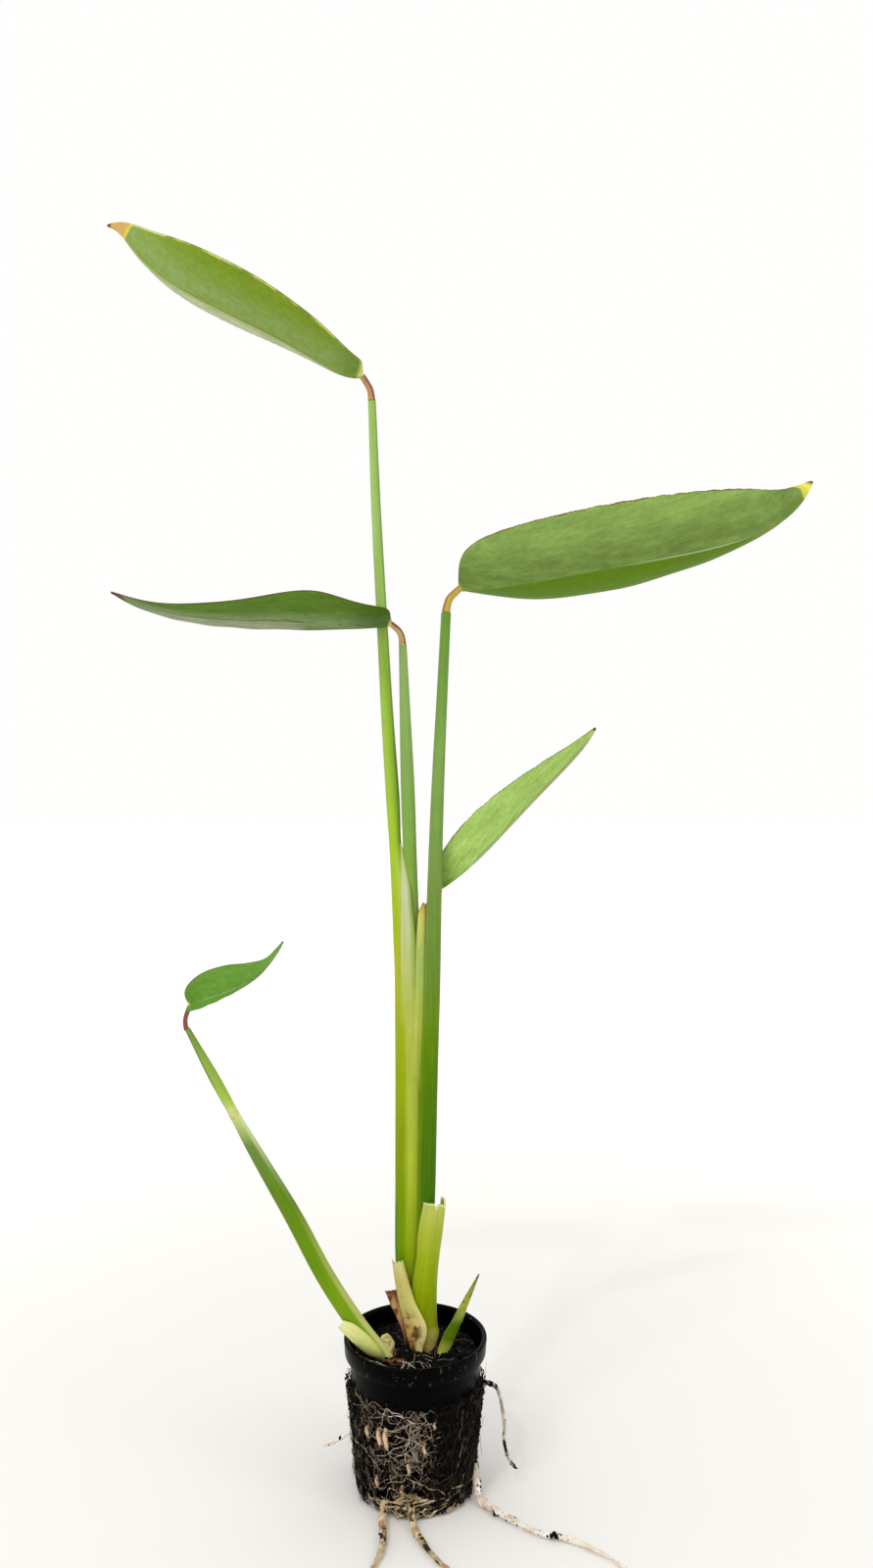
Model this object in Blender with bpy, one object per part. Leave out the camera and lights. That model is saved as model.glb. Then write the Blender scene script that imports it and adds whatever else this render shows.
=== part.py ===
"""A young hardy water canna in a small black net pot.

Everything grows from a soil plug in the pot: a tall leaf whose sheath makes the lower stem,
a middle and a young leaf that come out of that sheath, a broad leaf on its own stalk, a side
shoot that leans out over the rim, a new sprout, and roots that leave the pot and lie on the
surface it stands on. Metres, +Z up. The origin is the middle of the underside of the pot.
"""

from math import comb

import bmesh
import bpy
import numpy as np

MM = 0.001

# Pot, in millimetres
POT_HEIGHT = 52.0
RIM_RADIUS = 25.0
RIM_BAND_HEIGHT = 6.0
WALL_TOP_RADIUS = 23.0
BASE_RADIUS = 18.2
WALL_THICKNESS = 1.1
WINDOWS_ROUND = 22
WINDOW_ROWS = ((5.0, 15.0), (18.5, 30.5))
BASE_SLOT = (7.0, 15.0)
GAP = 0.3
CLEARANCE = 0.35

# Soil plug
SOIL_TOP = 46.5
SOIL_LUMP = 1.1
SOIL_COLUMNS = 24

# Leaf blades: rib control points from base to tip, greatest half width, the two powers of the
# outline, and the fold of the near and the far half above level in degrees from base to tip
TALL_BLADE = dict(
    rib=((-18.5, 5, 388.5), (-64.5, 6, 413.5), (-93.5, 8, 413), (-94.5, 10, 437.5), (-111, 12, 445)),
    half_width=20.5, swell=0.35, taper=0.88, near=(3, 47, 49, 22), far=(6, 18, -4, -2))
MIDDLE_BLADE = dict(
    rib=((-8.7, -3.4, 301), (-36, -4, 295.5), (-39, -5, 305.5), (-67, -6, 293), (-104.5, -6, 310)),
    half_width=19.0, swell=0.34, taper=0.83, near=(11, 31, 24, 10), far=(45, 12, 0, -18))
BROAD_BLADE = dict(
    rib=((15, 1.5, 312.5), (42, 0, 312), (81.5, -4, 328), (125, -8, 318), (134.5, -12, 346.5)),
    half_width=26.7, swell=0.35, taper=0.73, near=(42, 27, 46, 83), far=(13, -29, -1, 16))
YOUNG_BLADE = dict(
    rib=((9.3, 6, 207.3), (30, 6, 221), (34.5, 6, 236.5), (57.5, 6, 250.5), (63.5, 6, 264)),
    half_width=13.2, swell=0.52, taper=0.96, near=(90, 60, 41, 43), far=(88, 80, 76, 76))
SIDE_BLADE = dict(
    rib=((-77.5, -8, 168.3), (-70.5, -9, 171.5), (-50, -10, 175), (-51.5, -10, 182), (-45, -10, 190.5)),
    half_width=10.8, swell=0.48, taper=0.63, near=(-18, 2, 14, -21), far=(95, 44, 12, 4))
RIB_THICKNESS = 1.3
MARGIN_THICKNESS = 0.5
BLADE_BASE_HALF = 1.0
BLADE_TIP_HALF = 0.25
BLADE_ROWS = 13
BLADE_COLUMNS = 9

# Stems and stalks: stations of x, y, z, half width and half depth
TALL_STALK = (
    (-0.6, 4.9, 42, 2.4, 2.5), (-2.0, 4.7, 60, 3.6, 3.2), (-3.1, 4.4, 76, 4.0, 3.3),
    (-3.0, 4.2, 105, 4.0, 3.3), (-3.1, 4.2, 140, 4.05, 3.3), (-3.1, 4.2, 175, 4.4, 3.4),
    (-3.2, 4.3, 189, 4.5, 3.4), (-4.9, 4.6, 204, 3.6, 3.0), (-7.1, 5.4, 221, 2.2, 2.2),
    (-8.2, 6.0, 240, 2.4, 2.3), (-10.3, 7.0, 271, 2.15, 2.1), (-12.3, 7.6, 307, 1.9, 1.9),
    (-14.2, 7.4, 343, 1.7, 1.7), (-15.6, 7.0, 380, 1.4, 1.4))
MIDDLE_STALK = (
    (-0.5, 4.7, 190, 2.0, 1.9), (-1.6, 3.6, 213, 2.2, 2.0), (-2.6, 1.8, 243, 2.25, 2.1),
    (-3.6, 0.0, 268, 1.9, 1.8), (-4.4, -1.0, 292.5, 1.35, 1.4))
BROAD_STALK = (
    (4.0, 2.8, 42, 2.2, 2.1), (4.2, 2.2, 56, 2.5, 2.3), (4.0, 1.6, 74, 2.7, 2.5),
    (3.9, 1.2, 93, 2.8, 2.7), (4.1, 1.0, 107, 3.0, 2.8), (4.8, 1.0, 141, 3.0, 2.8),
    (5.9, 1.0, 175, 2.8, 2.7), (6.7, 1.0, 210, 2.55, 2.4), (7.9, 1.0, 245, 2.2, 2.1),
    (9.3, 1.0, 275, 1.9, 1.9), (10.7, 1.0, 304, 1.7, 1.7))
YOUNG_STALK = ((2.3, 5.4, 160, 0.9, 1.4), (2.6, 5.5, 178, 1.1, 1.4), (2.9, 5.5, 196, 1.0, 1.2))
SIDE_STEM = (
    (-8.3, -4.4, 43.6, 2.1, 2.1), (-11.7, -4.4, 48.0, 2.4, 2.4), (-19.7, -4.6, 57.8, 2.7, 2.7),
    (-31.1, -5.0, 74.9, 2.8, 2.8), (-42.5, -5.6, 95.1, 2.6, 2.6), (-54.0, -6.3, 115.6, 2.1, 2.1),
    (-62.1, -6.9, 130.5, 1.6, 1.6))
SIDE_STALK = (
    (-62.5, -6.9, 131.3, 1.55, 1.55), (-69.3, -7.3, 143.2, 1.4, 1.4), (-78.0, -7.9, 159.4, 0.9, 0.9))
SPROUT_LEAF = (
    (8.8, -1.2, 42.5, 1.3, 1.3), (12.2, -0.9, 52, 1.7, 1.6), (16.9, -0.5, 62, 1.3, 1.2),
    (22.2, 0.0, 72.8, 0.25, 0.25))
STALK_SIDES = 10

# Knees, the short joints that turn a blade on its stalk: points of x, y, z and radius
TALL_KNEE = ((-15.7, 7.0, 380.5, 1.25), (-16.2, 7.0, 385.0, 1.15), (-17.7, 5.8, 388.0, 1.1))
MIDDLE_KNEE = ((-4.5, -1.0, 293.1, 1.2), (-5.8, -1.3, 297.6, 1.1), (-8.1, -2.8, 300.4, 1.0))
BROAD_KNEE = ((10.8, 1.0, 304.7, 1.35), (12.0, 1.1, 309.2, 1.3), (14.3, 1.4, 312.0, 1.1))
YOUNG_KNEE = ((3.0, 5.5, 196.6, 1.0), (4.9, 5.9, 201.9, 1.0), (8.7, 6.0, 206.6, 0.9))
SIDE_KNEE = ((-78.3, -7.9, 160.1, 0.8), (-78.5, -8.0, 164.2, 0.75), (-77.8, -8.0, 167.6, 0.7))
KNEE_SIDES = 8

# Cut and dry sheaths: left and right edges from foot to top, bulge towards the front, thickness
MAIN_CUT_SHEATH = dict(
    left=((1.4, 0.0, 49.5), (0.1, -0.2, 64), (0.1, -0.8, 80), (3.2, -2.4, 97)),
    right=((7.6, 0.4, 48.5), (7.4, 1.2, 64), (7.4, 1.6, 78), (10.2, 1.4, 93)),
    bulge=(2.8, 3.6, 3.0, 2.4), thickness=0.8)
DRY_SHEATH = dict(
    left=((-1.6, 0.0, 49), (-6.0, 0.0, 56), (-6.2, 0.2, 68), (-8.4, 0.6, 79)),
    right=((4.4, -4.0, 48.6), (3.2, -4.0, 57), (-2.2, -1.2, 68), (-4.8, 0.0, 79)),
    bulge=(2.4, 2.2, 1.4, 0.6), thickness=0.8)
BROWN_SCALE = dict(
    left=((-4.8, 1.8, 51), (-8.2, 1.8, 58.5), (-11.4, 1.6, 67)),
    right=((-3.6, 1.6, 51.6), (-6.2, 1.6, 60.5), (-6.6, 1.4, 69)),
    bulge=(0.4, 0.6, 0.6), thickness=0.6)
SIDE_CUT_SHEATH = dict(
    left=((-10.6, -7.3, 48.8), (-18.6, -7.6, 52.4), (-26.4, -7.6, 58.0)),
    right=((-11.6, -7.3, 53.6), (-17.4, -7.9, 58.2), (-24.8, -8.3, 61.2)),
    bulge=(1.0, 1.4, 1.2), thickness=0.7)
SPROUT_SHEATH = dict(
    left=((7.8, -2.9, 48.6), (10.2, -2.9, 54), (16.6, -2.4, 61.4)),
    right=((11.8, -3.1, 48.2), (14.4, -2.9, 53), (17.6, -2.4, 61.0)),
    bulge=(1.2, 1.0, 0.4), thickness=0.6)
RHIZOME_STUB = (
    (-5.4, -0.4, 44.2, 1.4, 1.4), (-6.9, -0.1, 48, 1.8, 1.8), (-8.9, 0.3, 51.6, 1.3, 1.3))

# Roots: stations of x, y, z and radius
LONG_ROOT = (
    (20.4, -4.6, 9.5, 1.2), (21.0, -7.4, 5.0, 1.3), (22.6, -12.0, 1.35, 1.25),
    (30.3, -20.0, 1.15, 1.1), (40.9, -28.0, 0.95, 0.9), (50.1, -31.0, 0.85, 0.8),
    (60.4, -38.0, 0.65, 0.6), (69.0, -47.0, 0.4, 0.35))
FRONT_LEFT_ROOT = (
    (-10.2, -17.6, 4.6, 1.2), (-10.4, -22.0, 1.6, 1.25), (-10.0, -28.0, 1.25, 1.2),
    (-10.0, -35.0, 1.0, 0.95), (-12.0, -43.0, 0.8, 0.7), (-15.5, -50.0, 0.5, 0.4))
FRONT_MIDDLE_ROOT = (
    (-1.0, -20.5, 4.6, 1.1), (-0.4, -24.6, 1.5, 1.15), (1.2, -29.0, 1.15, 1.1),
    (3.6, -34.0, 0.95, 0.9), (7.6, -40.5, 0.8, 0.7), (12.5, -46.0, 0.5, 0.4))
HANGING_ROOT = (
    (24.2, -2.0, 34.6, 0.8), (27.4, -2.2, 35.6, 0.6), (29.4, -2.4, 30.4, 0.55),
    (30.7, -2.6, 22.0, 0.5), (31.8, -2.8, 13.6, 0.5), (35.0, -3.0, 6.8, 0.35))
SIDE_ROOT_LEFT = ((-23.2, -2.0, 19.2, 0.5), (-28.0, -2.4, 15.6, 0.45), (-32.0, -2.6, 14.4, 0.3))
ROOT_SIDES = 8

# Root mat: the felt of fine roots on the outside of the net wall
MAT_FROM_DEGREES = -72.0
MAT_TO_DEGREES = 214.0
MAT_BOTTOM = 2.0
MAT_TOP = 38.0
MAT_THICKNESS = 1.5
MAT_GAP = 0.5


def clear_scene():
    for thing in list(bpy.data.objects):
        bpy.data.objects.remove(thing, do_unlink=True)


def finish(name, red, green, blue, roughness):
    """A plain principled material in the piece's own colour."""
    made = bpy.data.materials.new(name)
    made.use_nodes = True
    shader = made.node_tree.nodes["Principled BSDF"]
    shader.inputs["Base Color"].default_value = (red, green, blue, 1.0)
    shader.inputs["Roughness"].default_value = roughness
    shader.inputs["Metallic"].default_value = 0.0
    return made


def add_object(name, points, faces, material):
    """A closed, smooth shaded object from points in millimetres."""
    mesh = bpy.data.meshes.new(name)
    mesh.from_pydata([tuple(p) for p in np.asarray(points) * MM], [], faces)
    work = bmesh.new()
    work.from_mesh(mesh)
    bmesh.ops.recalc_face_normals(work, faces=work.faces)
    work.to_mesh(mesh)
    work.free()
    mesh.shade_smooth()
    mesh.set_sharp_from_angle(angle=np.radians(40))
    mesh.materials.append(material)
    made = bpy.data.objects.new(name, mesh)
    bpy.context.scene.collection.objects.link(made)
    return made


def cut(target, cutter):
    """Takes the cutter's space out of the target, and leaves the cutter as a hidden helper."""
    cutter.hide_render = True
    cutter.display_type = "WIRE"
    step = target.modifiers.new("clear of " + cutter.name, "BOOLEAN")
    step.operation = "DIFFERENCE"
    step.object = cutter


def through(stations, steps):
    """A smooth curve through every station, steps points to a span (Catmull-Rom)."""
    given = np.array(stations, float)
    padded = np.vstack([2 * given[0] - given[1], given, 2 * given[-1] - given[-2]])
    part = np.linspace(0, 1, steps, endpoint=False)[:, None]
    spans = []
    for a, b, c, d in zip(padded, padded[1:], padded[2:], padded[3:]):
        bend = (2 * a - 5 * b + 4 * c - d) * part**2 + (3 * b - a - 3 * c + d) * part**3
        spans.append(0.5 * (2 * b + (c - a) * part + bend))
    return np.vstack(spans + [given[-1:]])


def blend(values, t):
    """The Bernstein curve over the control values, at each t from 0 to 1."""
    given = np.array(values, float)
    top = len(given) - 1
    weights = [comb(top, i) * t**i * (1 - t) ** (top - i) for i in range(top + 1)]
    return np.stack(weights, axis=-1) @ given


def slope(values, t):
    """The rate of change of the Bernstein curve over the control values."""
    given = np.array(values, float)
    return (len(given) - 1) * blend(given[1:] - given[:-1], t)


def unit(vectors):
    return vectors / np.linalg.norm(vectors, axis=-1, keepdims=True)


def ring_faces(rings, sides):
    """Quads round each pair of rings and a fan over each end, for rings of the same count."""
    faces = []
    for r in range(rings - 1):
        for s in range(sides):
            n = (s + 1) % sides
            faces.append((r * sides + s, r * sides + n, (r + 1) * sides + n, (r + 1) * sides + s))
    last = (rings - 1) * sides
    faces.append(tuple(range(sides)))
    faces.append(tuple(last + s for s in range(sides)))
    return faces


def tube(name, stations, sides, steps, across, material, grow=0.0, lengthen=0.0):
    """An oval tube through its stations. across is the direction that its width lies along."""
    path = through(stations, steps)
    centre, half_width = path[:, :3], path[:, 3] + grow
    half_depth = path[:, -1] + grow
    ahead = unit(np.gradient(centre, axis=0))
    centre = centre.copy()
    centre[0] -= ahead[0] * lengthen
    centre[-1] += ahead[-1] * lengthen
    wide = np.array(across, float)
    wide = unit(wide - (ahead @ wide)[:, None] * ahead)
    deep = np.cross(ahead, wide)
    turn = np.linspace(0, 2 * np.pi, sides, endpoint=False)
    spread = np.cos(turn)[None, :, None] * (wide * half_width[:, None])[:, None]
    spread = spread + np.sin(turn)[None, :, None] * (deep * half_depth[:, None])[:, None]
    points = (centre[:, None] + spread).reshape(-1, 3)
    return add_object(name, points, ring_faces(len(path), sides), material)


def plate_faces(rows, columns):
    """Faces of a closed plate: an upper and a lower grid of points and the strips between."""
    lower = rows * columns
    faces = []
    for r in range(rows - 1):
        for c in range(columns - 1):
            a = r * columns + c
            quad = (a, a + 1, a + columns + 1, a + columns)
            faces.append(quad)
            faces.append(tuple(lower + p for p in reversed(quad)))
    border = [c for c in range(columns)]
    border += [r * columns + columns - 1 for r in range(1, rows)]
    border += [(rows - 1) * columns + c for c in range(columns - 2, -1, -1)]
    border += [r * columns for r in range(rows - 2, 0, -1)]
    for a, b in zip(border, border[1:] + border[:1]):
        faces.append((b, a, lower + a, lower + b))
    return faces


def plate(name, grid, thickness, material):
    """Gives a grid of points a thickness, half on each side."""
    along = np.gradient(grid, axis=0)
    over = np.gradient(grid, axis=1)
    away = unit(np.cross(along, over)) * np.broadcast_to(thickness, grid.shape[:2])[..., None] / 2
    points = np.vstack([(grid + away).reshape(-1, 3), (grid - away).reshape(-1, 3)])
    return add_object(name, points, plate_faces(*grid.shape[:2]), material)


def blade(name, rib, half_width, swell, taper, near, far, material):
    """A leaf blade: two halves folded up or down from a curved rib.

    A half reaches half_width times t^swell (1-t)^taper, scaled to 1 at its widest, from the rib.
    """
    t = 0.5 - 0.5 * np.cos(np.pi * np.linspace(0, 1, BLADE_ROWS))
    widest = swell / (swell + taper)
    outline = t**swell * (1 - t) ** taper / (widest**swell * (1 - widest) ** taper)
    reach = half_width * outline + BLADE_BASE_HALF * (1 - t) + BLADE_TIP_HALF * t
    middle = blend(rib, t)
    ahead = unit(slope(rib, t))
    right = unit(np.cross(ahead, (0, 0, 1)))
    up = np.cross(right, ahead)
    grows_right = rib[-1][0] > rib[0][0]
    folds = {1: near if grows_right else far, -1: far if grows_right else near}
    columns = []
    for v in np.linspace(-1, 1, BLADE_COLUMNS):
        side = 1 if v > 0 else -1
        fold = np.radians(blend(folds[side], t))[:, None]
        outwards = side * np.cos(fold) * right + np.sin(fold) * up
        columns.append(middle + abs(v) * reach[:, None] * outwards)
    grid = np.stack(columns, axis=1)
    from_rib = np.abs(np.linspace(-1, 1, BLADE_COLUMNS))[None, :]
    thickness = RIB_THICKNESS + (MARGIN_THICKNESS - RIB_THICKNESS) * from_rib**0.5
    return plate(name, grid, thickness * (1 - 0.5 * t[:, None]), material)


def sheath(name, left, right, bulge, thickness, material, rows=9, columns=9):
    """A half pipe between two edges: the half turn from edge to edge bulges to the front."""
    t = np.linspace(0, 1, rows)[:, None]
    turn = np.linspace(0, np.pi, columns)[None, :, None]
    from_edge, to_edge = blend(left, t[:, 0])[:, None], blend(right, t[:, 0])[:, None]
    middle, half = (from_edge + to_edge) / 2, (to_edge - from_edge) / 2
    forwards = np.array((0, -1.0, 0)) * blend(bulge, t[:, 0])[:, None, None]
    grid = middle - np.cos(turn) * half + np.sin(turn) * forwards
    return plate(name, grid, thickness, material)


def wall_radius(z):
    """The outer radius of the pot's tapered wall at a height."""
    top = POT_HEIGHT - RIM_BAND_HEIGHT
    return BASE_RADIUS + (WALL_TOP_RADIUS - BASE_RADIUS) * z / top


def pot_profile():
    """Pairs of outer and inner points, radius and height, from the base's middle to the rim."""
    band = POT_HEIGHT - RIM_BAND_HEIGHT
    pairs = [((r, 0.0), (r, WALL_THICKNESS)) for r in BASE_SLOT]
    pairs.append(((BASE_RADIUS, 0.0), (BASE_RADIUS - WALL_THICKNESS, WALL_THICKNESS)))
    for z in (*WINDOW_ROWS[0], *WINDOW_ROWS[1], band - 0.6):
        pairs.append(((wall_radius(z), z), (wall_radius(z) - WALL_THICKNESS, z)))
    pairs.append(((RIM_RADIUS - 0.4, band), (WALL_TOP_RADIUS - 0.6, band + 0.6)))
    pairs.append(((RIM_RADIUS, POT_HEIGHT - 0.6), (RIM_RADIUS - 1.6, POT_HEIGHT - 0.6)))
    pairs.append(((RIM_RADIUS - 0.4, POT_HEIGHT), (RIM_RADIUS - 1.2, POT_HEIGHT)))
    return pairs


def make_pot(material):
    """The net pot: a tapered wall and base with windows left out of the grid it is made of."""
    pairs = pot_profile()
    columns = 2 * WINDOWS_ROUND
    turn = np.linspace(0, 2 * np.pi, columns, endpoint=False)
    points = []
    for layer in (0, 1):
        for pair in pairs:
            radius, z = pair[layer]
            points += [(radius * np.cos(a), radius * np.sin(a), z) for a in turn]
    rows = len(pairs)
    inner = rows * columns
    middle_outer, middle_inner = len(points), len(points) + 1
    points += [(0, 0, 0), (0, 0, WALL_THICKNESS)]
    heights = [pair[0][1] for pair in pairs]
    window_rows = [0] + [heights.index(low) for low, _ in WINDOW_ROWS]

    def open_cell(r, c):
        return r in window_rows and c % 2 == 0

    faces = []
    for c in range(columns):
        n = (c + 1) % columns
        faces.append((middle_outer, n, c))
        faces.append((middle_inner, inner + c, inner + n))
        top = (rows - 1) * columns
        faces.append((top + c, top + n, inner + top + n, inner + top + c))
        for r in range(rows - 1):
            a, b = r * columns + c, r * columns + n
            d, e = a + columns, b + columns
            if not open_cell(r, c):
                faces += [(a, b, e, d), (inner + b, inner + a, inner + d, inner + e)]
                continue
            for p, q in ((a, b), (b, e), (e, d), (d, a)):
                faces.append((p, q, inner + q, inner + p))
    return add_object("pot", points, faces, material)


def soil_height(radius, angle):
    """The soil's lumpy top: a few low waves that fade out towards the wall."""
    waves = np.sin(3 * angle + 0.6) + 0.7 * np.sin(5 * angle + radius / 3) + 0.5 * np.cos(radius)
    return SOIL_TOP + SOIL_LUMP * 0.4 * waves * (1 - (radius / 24) ** 4)


def make_soil(material):
    """The soil plug, a gap inside the wall, with the lumpy top that shows below the rim."""
    inside = WALL_THICKNESS + GAP
    turn = np.linspace(0, 2 * np.pi, SOIL_COLUMNS, endpoint=False)
    rings = [(r, WALL_THICKNESS + GAP) for r in (0.01, wall_radius(WALL_THICKNESS) - inside - 0.4)]
    rings += [(wall_radius(z) - inside, z) for z in (16.0, 31.0, 44.0)]
    points = []
    for radius, z in rings:
        points += [(radius * np.cos(a), radius * np.sin(a), z) for a in turn]
    edge = wall_radius(44.0) - inside
    for radius in (edge - 1.5, edge - 6.5, edge - 11.5, edge - 16.5, 0.01):
        points += [(radius * np.cos(a), radius * np.sin(a), soil_height(radius, a)) for a in turn]
    return add_object("soil", points, ring_faces(len(rings) + 5, SOIL_COLUMNS), material)


def make_root_mat(material):
    """The felt of fine roots, a curved pad a gap outside the wall."""
    turn = np.radians(np.linspace(MAT_FROM_DEGREES, MAT_TO_DEGREES, 22))[None, :]
    z = np.linspace(MAT_BOTTOM, MAT_TOP, 6)[:, None]
    radius = wall_radius(z) + MAT_GAP + MAT_THICKNESS / 2 + 0 * turn
    grid = np.stack([radius * np.cos(turn), radius * np.sin(turn), z + 0 * turn], axis=-1)
    ends = np.minimum(1.0, 0.45 + np.minimum(turn - turn[0, 0], turn[0, -1] - turn) * 3 + 0 * z)
    return plate("root_mat", grid, MAT_THICKNESS * ends, material)


def make_leaves():
    """The five leaves: stalk, knee and blade of each."""
    stalk_green = finish("stalk green", 0.22, 0.42, 0.06, 0.45)
    leaf_green = finish("leaf green", 0.13, 0.30, 0.06, 0.5)
    young_green = finish("young leaf green", 0.26, 0.45, 0.09, 0.5)
    knee_orange = finish("knee orange", 0.62, 0.34, 0.10, 0.5)
    knee_red = finish("knee red", 0.38, 0.09, 0.07, 0.5)
    leaves = {
        "tall_leaf": (TALL_STALK, TALL_KNEE, TALL_BLADE, leaf_green, knee_orange),
        "middle_leaf": (MIDDLE_STALK, MIDDLE_KNEE, MIDDLE_BLADE, leaf_green, knee_orange),
        "broad_leaf": (BROAD_STALK, BROAD_KNEE, BROAD_BLADE, leaf_green, knee_orange),
        "young_leaf": (YOUNG_STALK, YOUNG_KNEE, YOUNG_BLADE, young_green, knee_orange),
        "side_leaf": (SIDE_STALK, SIDE_KNEE, SIDE_BLADE, leaf_green, knee_red),
    }
    made = {}
    for name, (stalk, knee, shape, green, knee_finish) in leaves.items():
        stalk_name = name + "_stalk"
        made[stalk_name] = tube(stalk_name, stalk, STALK_SIDES, 2, (1, 0, 0), stalk_green)
        made[name + "_knee"] = tube(name + "_knee", knee, KNEE_SIDES, 2, (0, 1, 0), knee_finish)
        made[name + "_blade"] = blade(name + "_blade", material=green, **shape)
    return made


def make_side_shoot():
    stem_green = finish("side stem green", 0.24, 0.45, 0.07, 0.45)
    pale = finish("cut sheath green", 0.62, 0.68, 0.28, 0.6)
    rhizome = finish("rhizome yellow", 0.66, 0.62, 0.30, 0.6)
    stem = tube("side_shoot_stem", SIDE_STEM, STALK_SIDES, 2, (0, 1, 0), stem_green)
    stub = tube("rhizome_stub", RHIZOME_STUB, KNEE_SIDES, 2, (1, 0, 0), rhizome)
    sheath("side_shoot_cut_sheath", material=pale, rows=7, columns=7, **SIDE_CUT_SHEATH)
    return stem, stub


def make_sheaths():
    green = finish("main cut sheath green", 0.50, 0.62, 0.14, 0.5)
    beige = finish("dry sheath beige", 0.66, 0.58, 0.38, 0.7)
    brown = finish("papery scale brown", 0.50, 0.33, 0.20, 0.8)
    sheath("main_cut_sheath", material=green, **MAIN_CUT_SHEATH)
    sheath("dry_sheath", material=beige, **DRY_SHEATH)
    sheath("brown_scale", material=brown, rows=6, columns=5, **BROWN_SCALE)


def make_sprout():
    green = finish("sprout green", 0.28, 0.47, 0.07, 0.5)
    pale = finish("sprout sheath green", 0.42, 0.52, 0.12, 0.55)
    sheath("sprout_sheath", material=pale, rows=6, columns=7, **SPROUT_SHEATH)
    return tube("sprout_leaf", SPROUT_LEAF, KNEE_SIDES, 2, (1, 0, 0), green)


def make_roots():
    cream = finish("root cream", 0.68, 0.58, 0.40, 0.6)
    dark = finish("old root brown", 0.12, 0.09, 0.07, 0.7)
    roots = {
        "long_root_right": (LONG_ROOT, cream),
        "root_front_left": (FRONT_LEFT_ROOT, cream),
        "root_front_middle": (FRONT_MIDDLE_ROOT, cream),
        "hanging_root": (HANGING_ROOT, dark),
        "side_root_left": (SIDE_ROOT_LEFT, cream),
    }
    made = {}
    for name, (stations, material) in roots.items():
        made[name] = tube(name, stations, ROOT_SIDES, 2, (0.3, -0.4, 1), material)
    return made


def clear_space(target, name, stations, sides, across):
    """Cuts room for a tube that is set into the target."""
    helper = finish("helper", 0.5, 0.5, 0.5, 0.5)
    cutter = tube(name, stations, sides, 2, across, helper, grow=CLEARANCE, lengthen=CLEARANCE)
    cut(target, cutter)


def build():
    clear_scene()
    make_pot(finish("pot black plastic", 0.012, 0.012, 0.013, 0.25))
    soil = make_soil(finish("wet soil", 0.03, 0.022, 0.016, 0.8))
    mat = make_root_mat(finish("root felt", 0.16, 0.13, 0.10, 0.8))
    leaves = make_leaves()
    make_sheaths()
    make_side_shoot()
    make_sprout()
    make_roots()
    sunk = {"tall": TALL_STALK, "broad": BROAD_STALK, "side stem": SIDE_STEM, "sprout": SPROUT_LEAF,
            "stub": RHIZOME_STUB}
    for name, stations in sunk.items():
        clear_space(soil, "room in soil for " + name, stations[:3], STALK_SIDES, (1, 0, 0))
    pocket = {"middle": MIDDLE_STALK, "young": YOUNG_STALK, "broad": BROAD_STALK}
    for name, stations in pocket.items():
        clear_space(leaves["tall_leaf_stalk"], "pocket for " + name, stations, STALK_SIDES, (1, 0, 0))
    for name, stations in {"long": LONG_ROOT, "hanging": HANGING_ROOT}.items():
        clear_space(mat, "room in mat for " + name, stations[:3], ROOT_SIDES, (0.3, -0.4, 1))


build()
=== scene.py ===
"""The looks of a young hardy water canna in a small black net pot.

Lengths are in millimetres until a mesh is made. The origin is the middle of the pot's underside,
+Z is up and the camera looks along +Y. Each section makes one piece or one group of like pieces.
"""

from functools import partial, reduce
from math import comb

import bmesh
import bpy
import numpy as np
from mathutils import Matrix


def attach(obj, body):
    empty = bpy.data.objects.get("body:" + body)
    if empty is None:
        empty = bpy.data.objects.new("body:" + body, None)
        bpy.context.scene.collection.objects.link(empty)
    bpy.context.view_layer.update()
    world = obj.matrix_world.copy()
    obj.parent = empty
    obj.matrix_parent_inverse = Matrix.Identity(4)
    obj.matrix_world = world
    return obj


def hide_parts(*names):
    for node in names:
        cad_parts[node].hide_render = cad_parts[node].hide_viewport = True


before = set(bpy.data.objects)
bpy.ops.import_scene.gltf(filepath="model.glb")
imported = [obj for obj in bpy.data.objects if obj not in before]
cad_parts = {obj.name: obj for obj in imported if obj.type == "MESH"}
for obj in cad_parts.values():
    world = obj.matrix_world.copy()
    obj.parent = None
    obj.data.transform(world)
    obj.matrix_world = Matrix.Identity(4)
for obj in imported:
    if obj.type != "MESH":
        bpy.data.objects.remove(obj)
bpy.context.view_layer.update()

# The camera
# Level with the middle leaf's stalk and about 0.4 m in front of the pot, as the photograph was taken.
MM = 0.001
CAMERA_PLACE = np.array((7.36, -395.5, 244.0))
CAMERA_LENS = 26.0

lens = bpy.data.cameras.new("camera")
lens.lens = CAMERA_LENS
lens.sensor_width = 36.0
lens.clip_start = 0.01
camera = bpy.data.objects.new("camera", lens)
camera.location = CAMERA_PLACE * MM
camera.rotation_euler = (np.pi / 2, 0.0, 0.0)
bpy.context.scene.collection.objects.link(camera)
bpy.context.scene.camera = camera
bpy.context.scene.view_settings.view_transform = "Standard"

# The studio
# A pale floor in an even white surrounding, so that every side has the same plain ground. Far from
# the plant the floor fades into white. Two soft panels above, left and right, shape the forms, and a
# small bright lamp puts sparks on what is wet. A panel has its place, its aim, its size and its power.
FLOOR_RINGS = (6000, 2000, 800, 300, 0.5)
FLOOR_BELOW = 0.3
FLOOR_FADE = (80.0, 750.0)
FLOOR_GLOW = 0.35
PANELS = (
    ((-700, -900, 1300), (0, 0, 220), 420, 4.5),
    ((900, -500, 900), (0, 0, 220), 300, 1.2),
    ((-350, -700, 1250), (0, 0, 60), 50, 1.6))
SKY_COLOUR = (1.0, 0.995, 0.985, 1.0)


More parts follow.
